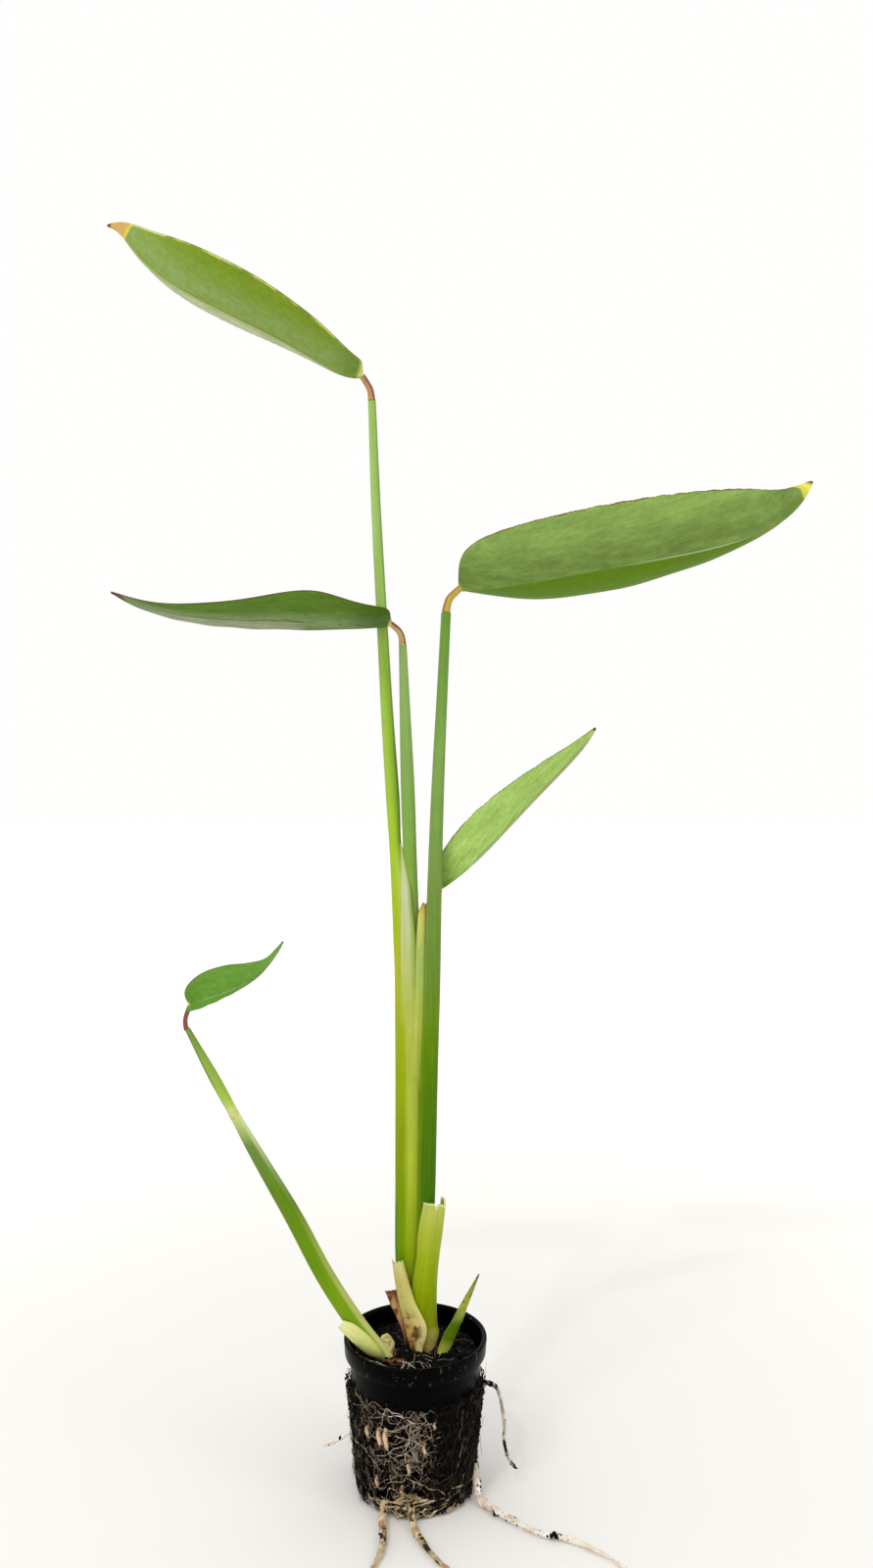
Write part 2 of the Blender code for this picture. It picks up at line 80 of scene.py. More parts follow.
def linear(colour):
    """A screen's colour of three values up to 255, as a shader takes it. Anything else as it is."""
    if not isinstance(colour, tuple) or len(colour) != 3:
        return colour
    value = np.array(colour) / 255
    value = np.where(value <= 0.04045, value / 12.92, ((value + 0.055) / 1.055) ** 2.4)
    return (*value.tolist(), 1.0)


def fill(made, inputs):
    """Fills a node's sockets, each with a value or with a link from another node's socket."""
    for key, value in inputs.items():
        if isinstance(value, bpy.types.NodeSocket):
            made.id_data.links.new(value, made.inputs[key])
        else:
            made.inputs[key].default_value = value


def finish(name, roughness, specular=0.15):
    """A new material with these values on its Principled shader: the shader and its node tree."""
    material = bpy.data.materials.new(name.replace("_", " "))
    material.use_nodes = True
    shader = material.node_tree.nodes["Principled BSDF"]
    fill(shader, {"Roughness": roughness, "Specular IOR Level": specular})
    return material, shader, material.node_tree


def settle(name, points, faces, material, crease, closed=True, uv=None, marks=None):
    """An object of points in millimetres and faces, smooth but for its sharp edges.

    A closed one is turned outwards. uv has a place for every corner of every face, and marks has,
    by name, one or three values for every point.
    """
    mesh = bpy.data.meshes.new(name)
    mesh.from_pydata((points.reshape(-1, 3) * MM).tolist(), [], faces)
    if uv is not None:
        mesh.uv_layers.new(name="UVMap").data.foreach_set("uv", uv.ravel().astype(np.float32))
    for mark, value in (marks or {}).items():
        kind, slot = ("FLOAT_VECTOR", "vector") if value.shape[1] == 3 else ("FLOAT", "value")
        layer = mesh.attributes.new(mark, kind, "POINT")
        layer.data.foreach_set(slot, value.ravel().astype(np.float32))
    if closed:
        work = bmesh.new()
        work.from_mesh(mesh)
        if work.calc_volume(signed=True) < 0:
            mesh.flip_normals()
        work.free()
    mesh.shade_smooth()
    mesh.set_sharp_from_angle(angle=np.radians(crease))
    mesh.materials.append(material)
    made = bpy.data.objects.new(name, mesh)
    bpy.context.scene.collection.objects.link(made)
    return made


def skin(name, grid, material, ends=None, marks=None, crease=55.0):
    """A mesh over rings of points, rows by columns: four neighbours make a face.

    ends closes the first and the last ring: "fan" from its middle, "strip" between the two halves
    of a flattened one. marks are values at the points, by name. The UV map runs from 0 at the first
    ring to 1 at the last, and from 0 to 1 round each.
    """
    rows, columns = grid.shape[:2]
    row, column = np.mgrid[0:rows - 1, 0:columns]
    row = np.stack([row, row, row + 1, row + 1], -1).reshape(-1, 4)
    column = np.stack([column, column + 1, column + 1, column], -1).reshape(-1, 4)
    faces = (row * columns + column % columns).tolist()
    uv = [np.stack([row / (rows - 1), column / columns], -1).reshape(-1, 2)]
    last = (rows - 1) * columns
    if ends == "fan":
        c = np.arange(columns)
        n = (c + 1) % columns
        pole = rows * columns + 0 * c
        faces += np.stack([pole, n, c], -1).tolist() + np.stack([pole + 1, last + c, last + n], -1).tolist()
        cap = np.stack([c, c + 1, c], -1)
    if ends == "strip":
        c = np.arange(columns // 2 - 1)
        cap = np.stack([c + 1, c, columns - 1 - c, columns - 2 - c], -1)
        faces += cap.tolist() + (last + cap[:, ::-1]).tolist()
    if ends:
        flat = cap.reshape(-1) / columns
        uv += [np.stack([0 * flat + end, flat], -1) for end in (0, 1)]

    def with_poles(values):
        values = values.reshape(rows, columns, -1)
        poles = [values[0].mean(0), values[-1].mean(0)] if ends == "fan" else []
        return np.vstack([values.reshape(rows * columns, -1), *poles])

    marks = {mark: with_poles(value) for mark, value in (marks or {}).items()}
    return settle(name, with_poles(grid), faces, material, crease, bool(ends), np.vstack(uv), marks)


def node(kind, inputs=None, tree=None, **settings):
    """A shader node in the tree of its linked inputs, or in the one given. settings are its choices."""
    inputs = inputs or {}
    linked = (value for value in inputs.values() if isinstance(value, bpy.types.NodeSocket))
    tree = tree or next(linked).id_data
    made = tree.nodes.new("ShaderNode" + kind)
    for key, value in settings.items():
        setattr(made, key, value)
    fill(made, inputs)
    return made


def ease(value, low, high, start=0.0, end=1.0):
    """A smooth step from start to end as the value goes from low to high."""
    inputs = {0: value, 1: low, 2: high, 3: start, 4: end}
    return node("MapRange", inputs, interpolation_type="SMOOTHSTEP").outputs[0]


def object_place(tree):
    """Where a point is, in metres."""
    return node("TexCoord", tree=tree).outputs["Object"]


def polar(radius, turn, z):
    """Points from their radius, angle and height."""
    return np.stack(np.broadcast_arrays(radius * np.cos(turn), radius * np.sin(turn), z), -1)


ground_material, shader, tree = finish("pale ground", 0.9, 0.0)
from_middle = node("VectorMath", {0: object_place(tree)}, operation="LENGTH").outputs[1]
glow = ease(from_middle, FLOOR_FADE[0] * MM, FLOOR_FADE[1] * MM, 0.0, FLOOR_GLOW)
fill(shader, {"Base Color": linear((233, 231, 227)), "Emission Strength": 1.0,
              "Emission Color": node("CombineColor", {0: glow, 1: glow, 2: glow}).outputs[0]})
disc = polar(np.array(FLOOR_RINGS)[:, None], np.linspace(0, 2 * np.pi, 96, endpoint=False), -FLOOR_BELOW)
ground = skin("ground", disc, ground_material)

for number, (place, aim, size, power) in enumerate(PANELS):
    panel = bpy.data.lights.new("panel", "AREA")
    panel.size = size * MM
    panel.energy = power
    light = bpy.data.objects.new("panel " + str(number), panel)
    towards = np.array(aim, float) - place
    flat_length = np.hypot(towards[0], towards[1])
    light.location = np.array(place) * MM
    light.rotation_euler = (np.arctan2(flat_length, -towards[2]), 0, np.arctan2(-towards[0], towards[1]))
    light.visible_camera = False
    bpy.context.scene.collection.objects.link(light)

sky = bpy.data.worlds.new("even light")
sky.use_nodes = True
sky.node_tree.nodes["Background"].inputs["Color"].default_value = SKY_COLOUR
bpy.context.scene.world = sky

# The net pot
# One thin moulding of black polypropylene: a tapered wall and a base with narrow upright slots for
# the roots, a plain band above them and a wider lip. It is wet, with dried water marks and soil dust.
# A row of the lip has its outer radius and height, then its inner radius and height.
BAND_BOTTOM = 46.0
WALL_TOP_RADIUS = 23.0
BASE_RADIUS = 18.2
WALL_THICKNESS = 1.1
SLOTS = 50
SLOT_HALF_DEGREES = 2.2
SLOT_START_DEGREES = -1.8
SLOT_ROWS = ((4.0, 11.5), (14.0, 21.0), (23.5, 30.5))
SLOT_ROUNDING = 0.8
SLOT_ENDS = (0.35, 0.8375, 1.0, 1.0, 0.8375, 0.35)
BASE_SLOT = (7.0, 15.5)
BAND_ROWS = (32.5, 35.0, 38.0, 41.0, 43.5, 45.4)
LIP = (
    (23.5, 45.9, 22.1, 46), (24.35, 46.1, 22.4, 46.6), (24.55, 46.5, 22.55, 47.2), (24.75, 49, 22.8, 49.4),
    (24.9, 50.9, 23, 51), (24.85, 51.6, 23.25, 51.6), (24.55, 51.92, 23.6, 51.9), (24.2, 52, 23.95, 52))


def calc(operation, *values):
    """What a Math node makes of the values."""
    return node("Math", dict(enumerate(values)), operation=operation).outputs[0]


plus, minus, over = (partial(calc, operation) for operation in ("ADD", "SUBTRACT", "DIVIDE"))


def times(*values):
    """The product of two values or more."""
    return reduce(partial(calc, "MULTIPLY"), values)


def scaled(vector, scale):
    """A vector with each part multiplied: a pattern on it is squeezed where the scale is high."""
    return node("VectorMath", {0: vector, 1: scale}, operation="MULTIPLY").outputs[0]


def grain(vector, scale, detail=3.0, roughness=0.55):
    """Noise from 0 to 1, about 0.5."""
    inputs = {"Vector": vector, "Scale": scale, "Detail": detail, "Roughness": roughness}
    return node("TexNoise", inputs).outputs[0]


def tinted(share, first, second, how="MIX"):
    """The first colour, going over to the second by the share."""
    inputs = {0: share, 6: linear(first), 7: linear(second)}
    return node("Mix", inputs, data_type="RGBA", blend_type=how).outputs[2]


def height_in(tree):
    """How high a point is, in metres."""
    return node("SeparateXYZ", {0: object_place(tree)}).outputs[2]


def bumped(shader, height, distance, strength=1.0):
    """Feeds a height, in millimetres when multiplied by distance, to the shader as a normal."""
    inputs = {"Height": height, "Distance": distance * MM, "Strength": strength}
    fill(shader, {"Normal": node("Bump", inputs).outputs[0]})


def wall_radius(z):
    """The outer radius of the pot's tapered wall at a height."""
    return BASE_RADIUS + (WALL_TOP_RADIUS - BASE_RADIUS) * z / BAND_BOTTOM


def pierced(name, outer, inner, solid, material):
    """A wall with openings, from an outer and an inner ring grid and a table of its solid cells.

    Solid cells have an outer and an inner face. Wherever a solid cell meets an opening, or the last
    row ends, a face joins the two sides. The first row closes in a point.
    """
    rows, columns = outer.shape[:2]
    inside = rows * columns
    here = np.arange(inside).reshape(rows, columns)
    following = np.roll(here, -1, axis=1)
    a, b, c, d = here[:-1], following[:-1], following[1:], here[1:]
    next_solid, below, above = np.roll(solid, -1, axis=1), solid[:-1], solid[1:]
    pole = 2 * inside + 0 * here[0]
    faces = []
    for chosen, corners in (
            (solid, (a, b, c, d)), (solid, (d + inside, c + inside, b + inside, a + inside)),
            (solid & ~next_solid, (c, b, b + inside, c + inside)),
            (~solid & next_solid, (b, c, c + inside, b + inside)),
            (~below & above, (b[1:], a[1:], a[1:] + inside, b[1:] + inside)),
            (below & ~above, (a[1:], b[1:], b[1:] + inside, a[1:] + inside)),
            (slice(None), (d[-1], c[-1], c[-1] + inside, d[-1] + inside)),
            (slice(None), (pole, b[0], a[0])), (slice(None), (pole + 1, a[0] + inside, b[0] + inside))):
        faces += np.stack(corners, -1)[chosen].tolist()
    middles = np.stack([outer[0].mean(0), inner[0].mean(0)])
    points = np.vstack([outer.reshape(-1, 3), inner.reshape(-1, 3), middles])
    return settle(name, points, faces, material, crease=38.0)


def slotted_pot():
    """Rows from the base's middle up to the lip, and columns at the edges and middles of slots.

    A slot's ends are round: near them its edges close in as a quarter circle does.
    """
    span = np.array((0.0, 0.25, 1.0))
    base = np.concatenate([BASE_SLOT[0] + span, BASE_SLOT[1] - span[::-1]])
    levels = [(r, 0.0, r, WALL_THICKNESS, slotted) for r, slotted in
              [(0.4, 0), (4.0, 0)] + [(r, 1) for r in base]]
    levels.append((BASE_RADIUS - 0.5, 0.0, BASE_RADIUS - WALL_THICKNESS - 0.1, WALL_THICKNESS, 0))
    levels.append((BASE_RADIUS - 0.1, 0.15, BASE_RADIUS - WALL_THICKNESS, WALL_THICKNESS + 0.05, 0))
    rows = [(z, 1) for low, high in SLOT_ROWS for z in
            np.concatenate([low + span * SLOT_ROUNDING, high - span[::-1] * SLOT_ROUNDING])]
    levels += [(wall_radius(z), z, wall_radius(z) - WALL_THICKNESS, z, slotted) for z, slotted in
               rows + [(z, 0) for z in BAND_ROWS]]
    table = np.array(levels + [(*row, 0) for row in LIP])
    slotted = np.flatnonzero(table[:, 4])
    pitch = 2 * np.pi / SLOTS
    number = np.arange(4 * SLOTS)
    middle = np.radians(SLOT_START_DEGREES) + (number // 4) * pitch
    half = np.radians(SLOT_HALF_DEGREES)
    narrow = np.ones((len(table), 1))
    narrow[slotted, 0] = np.tile(SLOT_ENDS, len(slotted) // 6)
    shift = np.array((-1.0, 0.0, 1.0, pitch / half / 2))[number % 4][None, :]
    turn = middle + half * np.where(np.abs(shift) <= 1, shift * narrow, shift)
    gap = np.zeros(len(table) - 1, bool)
    gap[slotted[::6, None] + np.arange(5)] = True
    solid = ~(gap[:, None] & (number % 4 < 2)[None, :])
    outer, inner = (polar(table[:, k, None], turn, table[:, k + 1, None]) for k in (0, 2))
    return outer, inner, solid


plastic, shader, tree = finish("wet black plastic", 0.3, 0.03)
place = object_place(tree)
dust = ease(grain(place, 420.0, 5.0, 0.7), 0.6, 0.8)
film = ease(grain(scaled(place, (1.0, 1.0, 0.6)), 800.0, 2.0), 0.66, 0.7)
high = ease(height_in(tree), 0.044, 0.049)
fill(shader, {"Base Color": tinted(dust, (1, 1, 1), (22, 19, 16)), "Coat Weight": times(film, high),
              "Coat Roughness": 0.05})
bumped(shader, plus(film, grain(place, 900.0, 2.0)), 0.15, 0.6)
pot = pierced("net_pot", *slotted_pot(), plastic)
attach(pot, "root")
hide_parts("pot")

# The soil
# A plug of black wet compost, heaped a little at the crown and pressed against the slots at the
# sides, with loose crumbs, brown leaf litter and fine white rootlets on its top. Its roughness is
# waves of a size and a wavelength.
SOIL_TOP = 46.5
SOIL_LUMP = 0.45
SOIL_GAP = 0.35
SOIL_ROUGHNESS = ((0.32, 4.5), (0.22, 1.9), (0.12, 0.9))
CROWN = (2.5, 2.0)
CROWN_HEAP = 1.9
CROWN_SPREAD = 6.5
SOIL_CRUMBS = 1700
CRUMBS_REACH = 20.6
STREWN_REACH = 20.3
# Rings of the soil's skin on the underside, at the side and on the top
SOIL_RINGS = (8, 60, 48)
SOIL_COLUMNS = 260
RIPPLE_WAVES = 24
FLATTEST = 0.75


def unit(vectors):
    return vectors / np.linalg.norm(vectors, axis=-1, keepdims=True)


def ripple(points, wavelength, seed):
    """A smooth random field of about 0 to 1 either way: sine waves of random direction, summed."""
    pick = np.random.default_rng(seed)
    towards = unit(pick.normal(size=(RIPPLE_WAVES, 3))) * 2 * np.pi / wavelength
    towards = towards * pick.uniform(0.7, 1.5, (RIPPLE_WAVES, 1))
    phase = pick.uniform(0, 2 * np.pi, RIPPLE_WAVES)
    return np.sin(points @ towards.T + phase).sum(-1) / np.sqrt(RIPPLE_WAVES)


def soil_height(radius, turn):
    """The top of the soil: low waves that fade out towards the wall, and a heap round the crown."""
    waves = np.sin(3 * turn + 0.6) + 0.7 * np.sin(5 * turn + radius / 3) + 0.5 * np.cos(radius)
    away = np.hypot(radius * np.cos(turn) - CROWN[0], radius * np.sin(turn) - CROWN[1])
    heap = CROWN_HEAP * np.exp(-((away / CROWN_SPREAD) ** 2))
    return SOIL_TOP + heap + SOIL_LUMP * waves * (1 - (radius / 24) ** 4)


def soil_surface():
    """Rings from the underside's middle up the wall and over the top to its middle, made crumbly."""
    inside = WALL_THICKNESS + SOIL_GAP
    base = np.linspace(0.2, BASE_RADIUS - inside - 0.5, SOIL_RINGS[0])
    side = np.linspace(WALL_THICKNESS + 0.6, 44.5, SOIL_RINGS[1])
    top = np.linspace(wall_radius(45) - inside - 0.3, 0.2, SOIL_RINGS[2])
    radius = np.concatenate([base, wall_radius(side) - inside, top])[:, None]
    height = np.concatenate([0 * base + WALL_THICKNESS + 0.3, side, 0 * top])[:, None]
    turn = np.linspace(0, 2 * np.pi, SOIL_COLUMNS, endpoint=False)
    on_top = (np.arange(len(radius)) >= len(base) + len(side))[:, None]
    grid = polar(radius, turn, np.where(on_top, soil_height(radius, turn), height))
    rough = sum(size * ripple(grid, wavelength, seed) for seed, (size, wavelength) in
                enumerate(SOIL_ROUGHNESS, 1))
    grid[..., 2] += np.where(on_top, rough, 0) * np.minimum(1, (23 - radius) / 3)
    inwards = np.where(on_top, 0, np.minimum(rough * 0.6, 0.05) - 0.1)[..., None]
    grid[..., :2] += inwards * grid[..., :2] / radius[..., None]
    return grid


def grains(name, centres, sizes, material, seed):
    """Crumbs: twenty-sided lumps, flattened, their corners pushed in or out, each with its own turn."""
    pick = np.random.default_rng(seed)
    golden = (1 + 5 ** 0.5) / 2
    corners = unit(np.array([
        (-1, golden, 0), (1, golden, 0), (-1, -golden, 0), (1, -golden, 0),
        (0, -1, golden), (0, 1, golden), (0, -1, -golden), (0, 1, -golden),
        (golden, 0, -1), (golden, 0, 1), (-golden, 0, -1), (-golden, 0, 1)]))
    sides = np.array([
        (0, 11, 5), (0, 5, 1), (0, 1, 7), (0, 7, 10), (0, 10, 11), (1, 5, 9), (5, 11, 4),
        (11, 10, 2), (10, 7, 6), (7, 1, 8), (3, 9, 4), (3, 4, 2), (3, 2, 6), (3, 6, 8),
        (3, 8, 9), (4, 9, 5), (2, 4, 11), (6, 2, 10), (8, 6, 7), (9, 8, 1)])
    count = len(centres)
    axes = np.linalg.qr(pick.normal(size=(count, 3, 3)))[0]
    axes *= np.sign(np.linalg.det(axes))[:, None, None]
    size = sizes[:, None, None] * pick.uniform(0.7, 1.25, (count, 12, 1))
    size = size * pick.uniform(FLATTEST, 1.0, (count, 1, 3))
    points = (corners[None] * size) @ axes + centres[:, None]
    faces = sides[None] + 12 * np.arange(count)[:, None, None]
    return settle(name, points, faces.reshape(-1, 3).tolist(), material, crease=30.0)


def threads(name, paths, radius, material, tint=None, sides=3):
    """Many thin threads in one mesh: a small even polygon carried along each path.

    paths is threads by points by 3, radius threads by points. tint is one value for each thread.
    """
    count, length = paths.shape[:2]
    ahead = unit(np.gradient(paths, axis=1))
    side = unit(np.cross(ahead, (0.31, 0.52, 0.79)))
    other = np.cross(ahead, side)
    turn = 2 * np.pi * np.arange(sides)[:, None] / sides
    ring = np.cos(turn) * side[:, :, None] + np.sin(turn) * other[:, :, None]
    points = paths[:, :, None] + radius[:, :, None, None] * ring
    row, column = np.mgrid[0:length - 1, 0:sides]
    a, b = row * sides + column, row * sides + (column + 1) % sides
    quads = np.stack([a, b, b + sides, a + sides], -1).reshape(-1, 4)
    start = np.arange(count)[:, None] * length * sides
    faces = (quads + start[..., None]).reshape(-1, 4).tolist()
    faces += (start + np.arange(sides)[::-1]).tolist()
    faces += (start + (length - 1) * sides + np.arange(sides)).tolist()
    marks = None if tint is None else {"tint": np.repeat(tint, length * sides)[:, None]}
    return settle(name, points, faces, material, crease=180.0, marks=marks)


def wander(count, length, step, curl, pick, heading):
    """Curling tracks on a plane: each heading drifts by a random walk, smoothed over five steps."""
    bends = pick.normal(0, curl, (count, length + 4))
    bends = sum(bends[:, k:k + length] for k in range(5)) / 5**0.5
    angle = heading[:, None] + np.cumsum(bends, axis=1)
    steps = np.stack([np.cos(angle), np.sin(angle)], -1) * np.asarray(step)[..., None]
    return np.cumsum(steps, axis=1)


def stops(value, *colours):
    """A colour ramp: each stop has its place from 0 to 1 and its colour's three values."""
    made = node("ValToRGB", {0: value})
    ramp = made.color_ramp.elements
    while len(ramp) < len(colours):
        ramp.new(0.5)
    for element, (place, *colour) in zip(ramp, colours):
        element.position = place
        element.color = linear(tuple(colour))
    return made.outputs[0]


def mark(tree, name):
    """A value that the mesh carries at its points."""
    return node("Attribute", tree=tree, attribute_name=name).outputs["Fac"]


compost, shader, tree = finish("wet compost", 0.6, 0.08)
place = object_place(tree)
clod = grain(place, 900.0, 6.0, 0.65)
fleck = ease(grain(place, 2600.0, 2.0, 0.5), 0.7, 0.76)
earth = stops(clod, (0.34, 2, 2, 2), (0.56, 10, 8, 6), (0.76, 30, 22, 16))
fill(shader, {"Base Color": tinted(fleck, earth, (110, 82, 58)), "Coat Roughness": 0.12,
              "Coat Weight": ease(grain(place, 620.0), 0.58, 0.66, 0.0, 0.8)})
bumped(shader, clod, 0.8)
soil = skin("compost", soil_surface(), compost, ends="fan", crease=70.0)
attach(soil, "root")
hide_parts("soil")

pick = np.random.default_rng(11)
spread = CRUMBS_REACH * np.sqrt(pick.uniform(0, 1, SOIL_CRUMBS))
turn = pick.uniform(0, 2 * np.pi, SOIL_CRUMBS)
size = pick.gamma(2.2, 0.15, SOIL_CRUMBS) + 0.1
centres = polar(spread, turn, soil_height(spread, turn) + 0.25 * size)
crumbs = grains("soil_crumbs", centres, size, compost, 12)
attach(crumbs, "root")

pale_root, shader, tree = finish("fine white rootlet", 0.45)
stain = ease(grain(object_place(tree), 700.0, 2.0), 0.52, 0.68)
clean = stops(mark(tree, "tint"), (0.0, 92, 70, 52), (0.4, 160, 140, 118), (1.0, 226, 221, 212))
fill(shader, {"Base Color": tinted(stain, clean, (40, 31, 24))})
litter_brown, shader, tree = finish("leaf litter", 0.5)
brown = stops(mark(tree, "tint"), (0.0, 58, 32, 22), (0.5, 112, 66, 48), (0.9, 156, 118, 92),
              (1.0, 216, 182, 150))
fill(shader, {"Base Color": brown})


def strewn(name, count, length, step, curl, thickness, seed, area, material, sides=4, arch=0.35):
    """Curling threads strewn over the soil in an area of x and y, lying on its top."""
    pick = np.random.default_rng(seed)
    steps = pick.uniform(*step, (count, 1))
    tracks = wander(count, length, steps, curl, pick, pick.uniform(0, 2 * np.pi, count))
    begin = np.stack([pick.uniform(*area[0], count), pick.uniform(*area[1], count)], -1)
    x, y = np.moveaxis(begin[:, None] + tracks, -1, 0)
    x, y = (value * np.minimum(1, STREWN_REACH / np.hypot(x, y)) for value in (x, y))
    rise = np.sin(np.linspace(0, np.pi, length)) * pick.uniform(0, 2, (count, 1))
    high = soil_height(np.hypot(x, y), np.arctan2(y, x)) + 0.6 + arch * rise
    taper = np.linspace(1.1, 0.5, length) * pick.uniform(*thickness, (count, 1))
    tint = pick.uniform(0, 1, count)
    made = threads(name, np.stack([x, y, high], -1), taper, material, tint, sides)
    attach(made, "root")


strewn("soil_rootlets", 26, 26, (0.15, 0.36), 0.09, (0.07, 0.16), 13, ((-15, 13), (-18, 0)), pale_root,
       5, 0.7)
strewn("leaf_litter", 15, 7, (0.4, 0.9), 0.03, (0.3, 0.7), 14, ((-18, -4), (-17, -5)), litter_brown)
strewn("crown_hairs", 12, 20, (0.2, 0.4), 0.09, (0.08, 0.2), 15, ((-4, 12), (-6, 6)), litter_brown, 4, 0.8)

# The root felt
# Fine roots that have grown out through the slots and down the outside of the wall, matted with
# soil. It is thick at the right and behind, and thin and curly at the front, where the wall shows.
FELT_FROM_DEGREES = -72.0
FELT_TO_DEGREES = 214.0
FELT_LOW = 2.0
FELT_HIGH = 38.0
FELT_RADIUS = 21.0
FELT_ROWS = 70
FELT_COLUMNS = 330
FELT_TURNS = (FELT_FROM_DEGREES, FELT_TO_DEGREES)
FRONT_PATCHES = (
    (26, (-142, -122), (31.5, 36.5), 0.1, 0.5), (8, (-118, -92), (33.5, 35.5), 0.0, 0.4),
    (52, (-98, -70), (24, 36), 0.35, 1.0), (34, (-98, -68), (10, 26), 0.6, 0.8),
    (26, (-146, -130), (18, 29), 0.4, 0.6), (36, (-146, -96), (3, 22), 0.6, 0.6))


def through(stations, steps):
    """A smooth curve through every station, steps points to a span (Catmull-Rom)."""
    given = np.array(stations, float)
    padded = np.vstack([2 * given[0] - given[1], given, 2 * given[-1] - given[-2]])
    part = np.linspace(0, 1, steps, endpoint=False)[:, None]
    spans = []
    for a, b, c, d in zip(padded, padded[1:], padded[2:], padded[3:]):
        bend = (2 * a - 5 * b + 4 * c - d) * part**2 + (3 * b - a - 3 * c + d) * part**3
        spans.append(0.5 * (2 * b + (c - a) * part + bend))
    return np.vstack(spans + [given[-1:]])


def on_wall(turn, z, proud):
    """A point on the outside of the pot's wall, standing proud of it, from its angle and height."""
    return polar(wall_radius(z) + proud, turn, z)


def felt_threads(count, degrees, heights, pick, upright, proud, curl=0.075, length=28, growth=0.0):
    """Threads on the unrolled wall, upright by the share given, in drifts, each with its own lift.

    Those that reach the top or the foot of the wall turn back. growth lifts a thread's far end.
    """
    heading = np.where(pick.uniform(0, 1, count) < upright, -np.pi / 2 + pick.normal(0, 0.35, count),
                       pick.uniform(0, 2 * np.pi, count))
    track = wander(count, length, pick.uniform(0.25, 0.7, (count, 1)), curl, pick, heading)
    drift = pick.uniform(*degrees, max(3, count // 12))
    begin = pick.choice(drift, count) + pick.normal(0, 5.0, count)
    turn = np.radians(np.clip(begin, *degrees))[:, None] + track[..., 0] / FELT_RADIUS
    z = pick.uniform(*heights, count)[:, None] + track[..., 1]
    z = heights[1] + 1.5 - np.abs(heights[1] + 1.5 - z)
    z = 0.45 + np.abs(z - 0.45)
    lift = pick.uniform(*proud, (count, 1)) + growth * np.linspace(0, 1, length)[None] ** 2
    points = on_wall(turn, z, lift)
    return points + 0.3 * ripple(points, 4.0, 21)[..., None] * unit(points * (1, 1, 0))


backing, shader, tree = finish("matted felt", 0.8, 0.06)
place = object_place(tree)
strand = grain(scaled(place, (1.0, 1.0, 0.22)), 1500.0, 4.0, 0.6)
hue = stops(strand, (0.42, 3, 3, 2), (0.6, 20, 15, 11), (0.76, 74, 60, 46))
fill(shader, {"Base Color": tinted(ease(grain(place, 160.0), 0.42, 0.6), hue, (5, 4, 3))})
bumped(shader, strand, 0.8)
turn = np.radians(np.linspace(FELT_FROM_DEGREES - 6, FELT_TO_DEGREES + 6, FELT_COLUMNS))[None, :]
level = np.linspace(FELT_LOW - 1.4, FELT_HIGH, FELT_ROWS)[:, None]
middle = on_wall(turn, level, 1.0)
ragged = 0.16 * ripple(middle * (0.3, 0.3, 1), 5.0, 20)
edge = np.clip(np.minimum(turn - turn[0, 0], turn[0, -1] - turn) * 5 - 0.4 + 2 * ragged, 0, 1)
edge = edge * np.clip((FELT_HIGH - level) / 5, 0, 1) ** 0.5 * np.clip((level - 0.4) / 2, 0.3, 1)
lumps = 0.34 * ripple(middle, 6.0, 22) + 0.24 * ripple(middle * (1, 1, 0.4), 1.8, 23)
proud = -0.3 + np.minimum(edge * 3, 1) * 0.6 + edge * np.maximum(0.1, 0.9 + lumps)
ring = np.concatenate([on_wall(turn, level, proud), on_wall(turn, level, -0.5)[:, ::-1]], 1)
felt = skin("felt_backing", ring, backing, ends="strip")
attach(felt, "root")
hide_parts("root_mat")

strands, shader, tree = finish("felt root", 0.6, 0.1)
stain = ease(grain(object_place(tree), 500.0), 0.46, 0.62)
clean = stops(mark(tree, "tint"), (0.0, 6, 5, 4), (0.35, 24, 19, 15), (0.6, 70, 58, 46),
              (0.85, 128, 114, 96), (1.0, 186, 176, 160))
fill(shader, {"Base Color": tinted(stain, clean, (14, 10, 8))})

pick = np.random.default_rng(24)
for name, count, tones, width, proud, growth in (
        ("felt_dark_threads", 1150, (0.0, 0.3), (0.1, 0.24), (0.9, 2.0), 0.2),
        ("felt_mid_threads", 320, (0.3, 0.62), (0.08, 0.19), (1.0, 2.2), 0.2),
        ("felt_pale_threads", 300, (0.6, 1.0), (0.09, 0.2), (1.3, 2.3), 0.3),
        ("felt_whiskers", 60, (0.1, 0.7), (0.06, 0.12), (1.2, 2.0), 2.2)):
    paths = felt_threads(count, FELT_TURNS, (1.0, FELT_HIGH - 1), pick, 0.68, proud, growth=growth)
    taper = np.linspace(1.1, 0.45, paths.shape[1]) * pick.uniform(*width, (count, 1))
    made = threads(name, paths, taper, strands, pick.uniform(*tones, count))
    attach(made, "root")

front = [felt_threads(count, degrees, heights, pick, upright, (0.2, 0.7), 0.12, 30) for
         count, degrees, heights, upright, _ in FRONT_PATCHES]
tone = np.concatenate([pick.beta(1.2, 1.9, count) * light for count, _, _, _, light in FRONT_PATCHES])
paths = np.concatenate(front)
taper = np.linspace(1.1, 0.5, 30) * pick.uniform(0.07, 0.15, (len(paths), 1))
made = threads("front_rootlets", paths, taper, pale_root, tone, 4)
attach(made, "root")
track = through(((-118, 35.1), (-112, 34.6), (-104, 35.4), (-96, 34.4), (-91, 33.2), (-88, 33.6)), 12)
path = on_wall(np.radians(track[:, 0]), track[:, 1], 0.5)[None]
made = threads("front_long_rootlet", path, np.full(path.shape[:2], 0.14), pale_root, np.array((0.95,)), 5)
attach(made, "root")

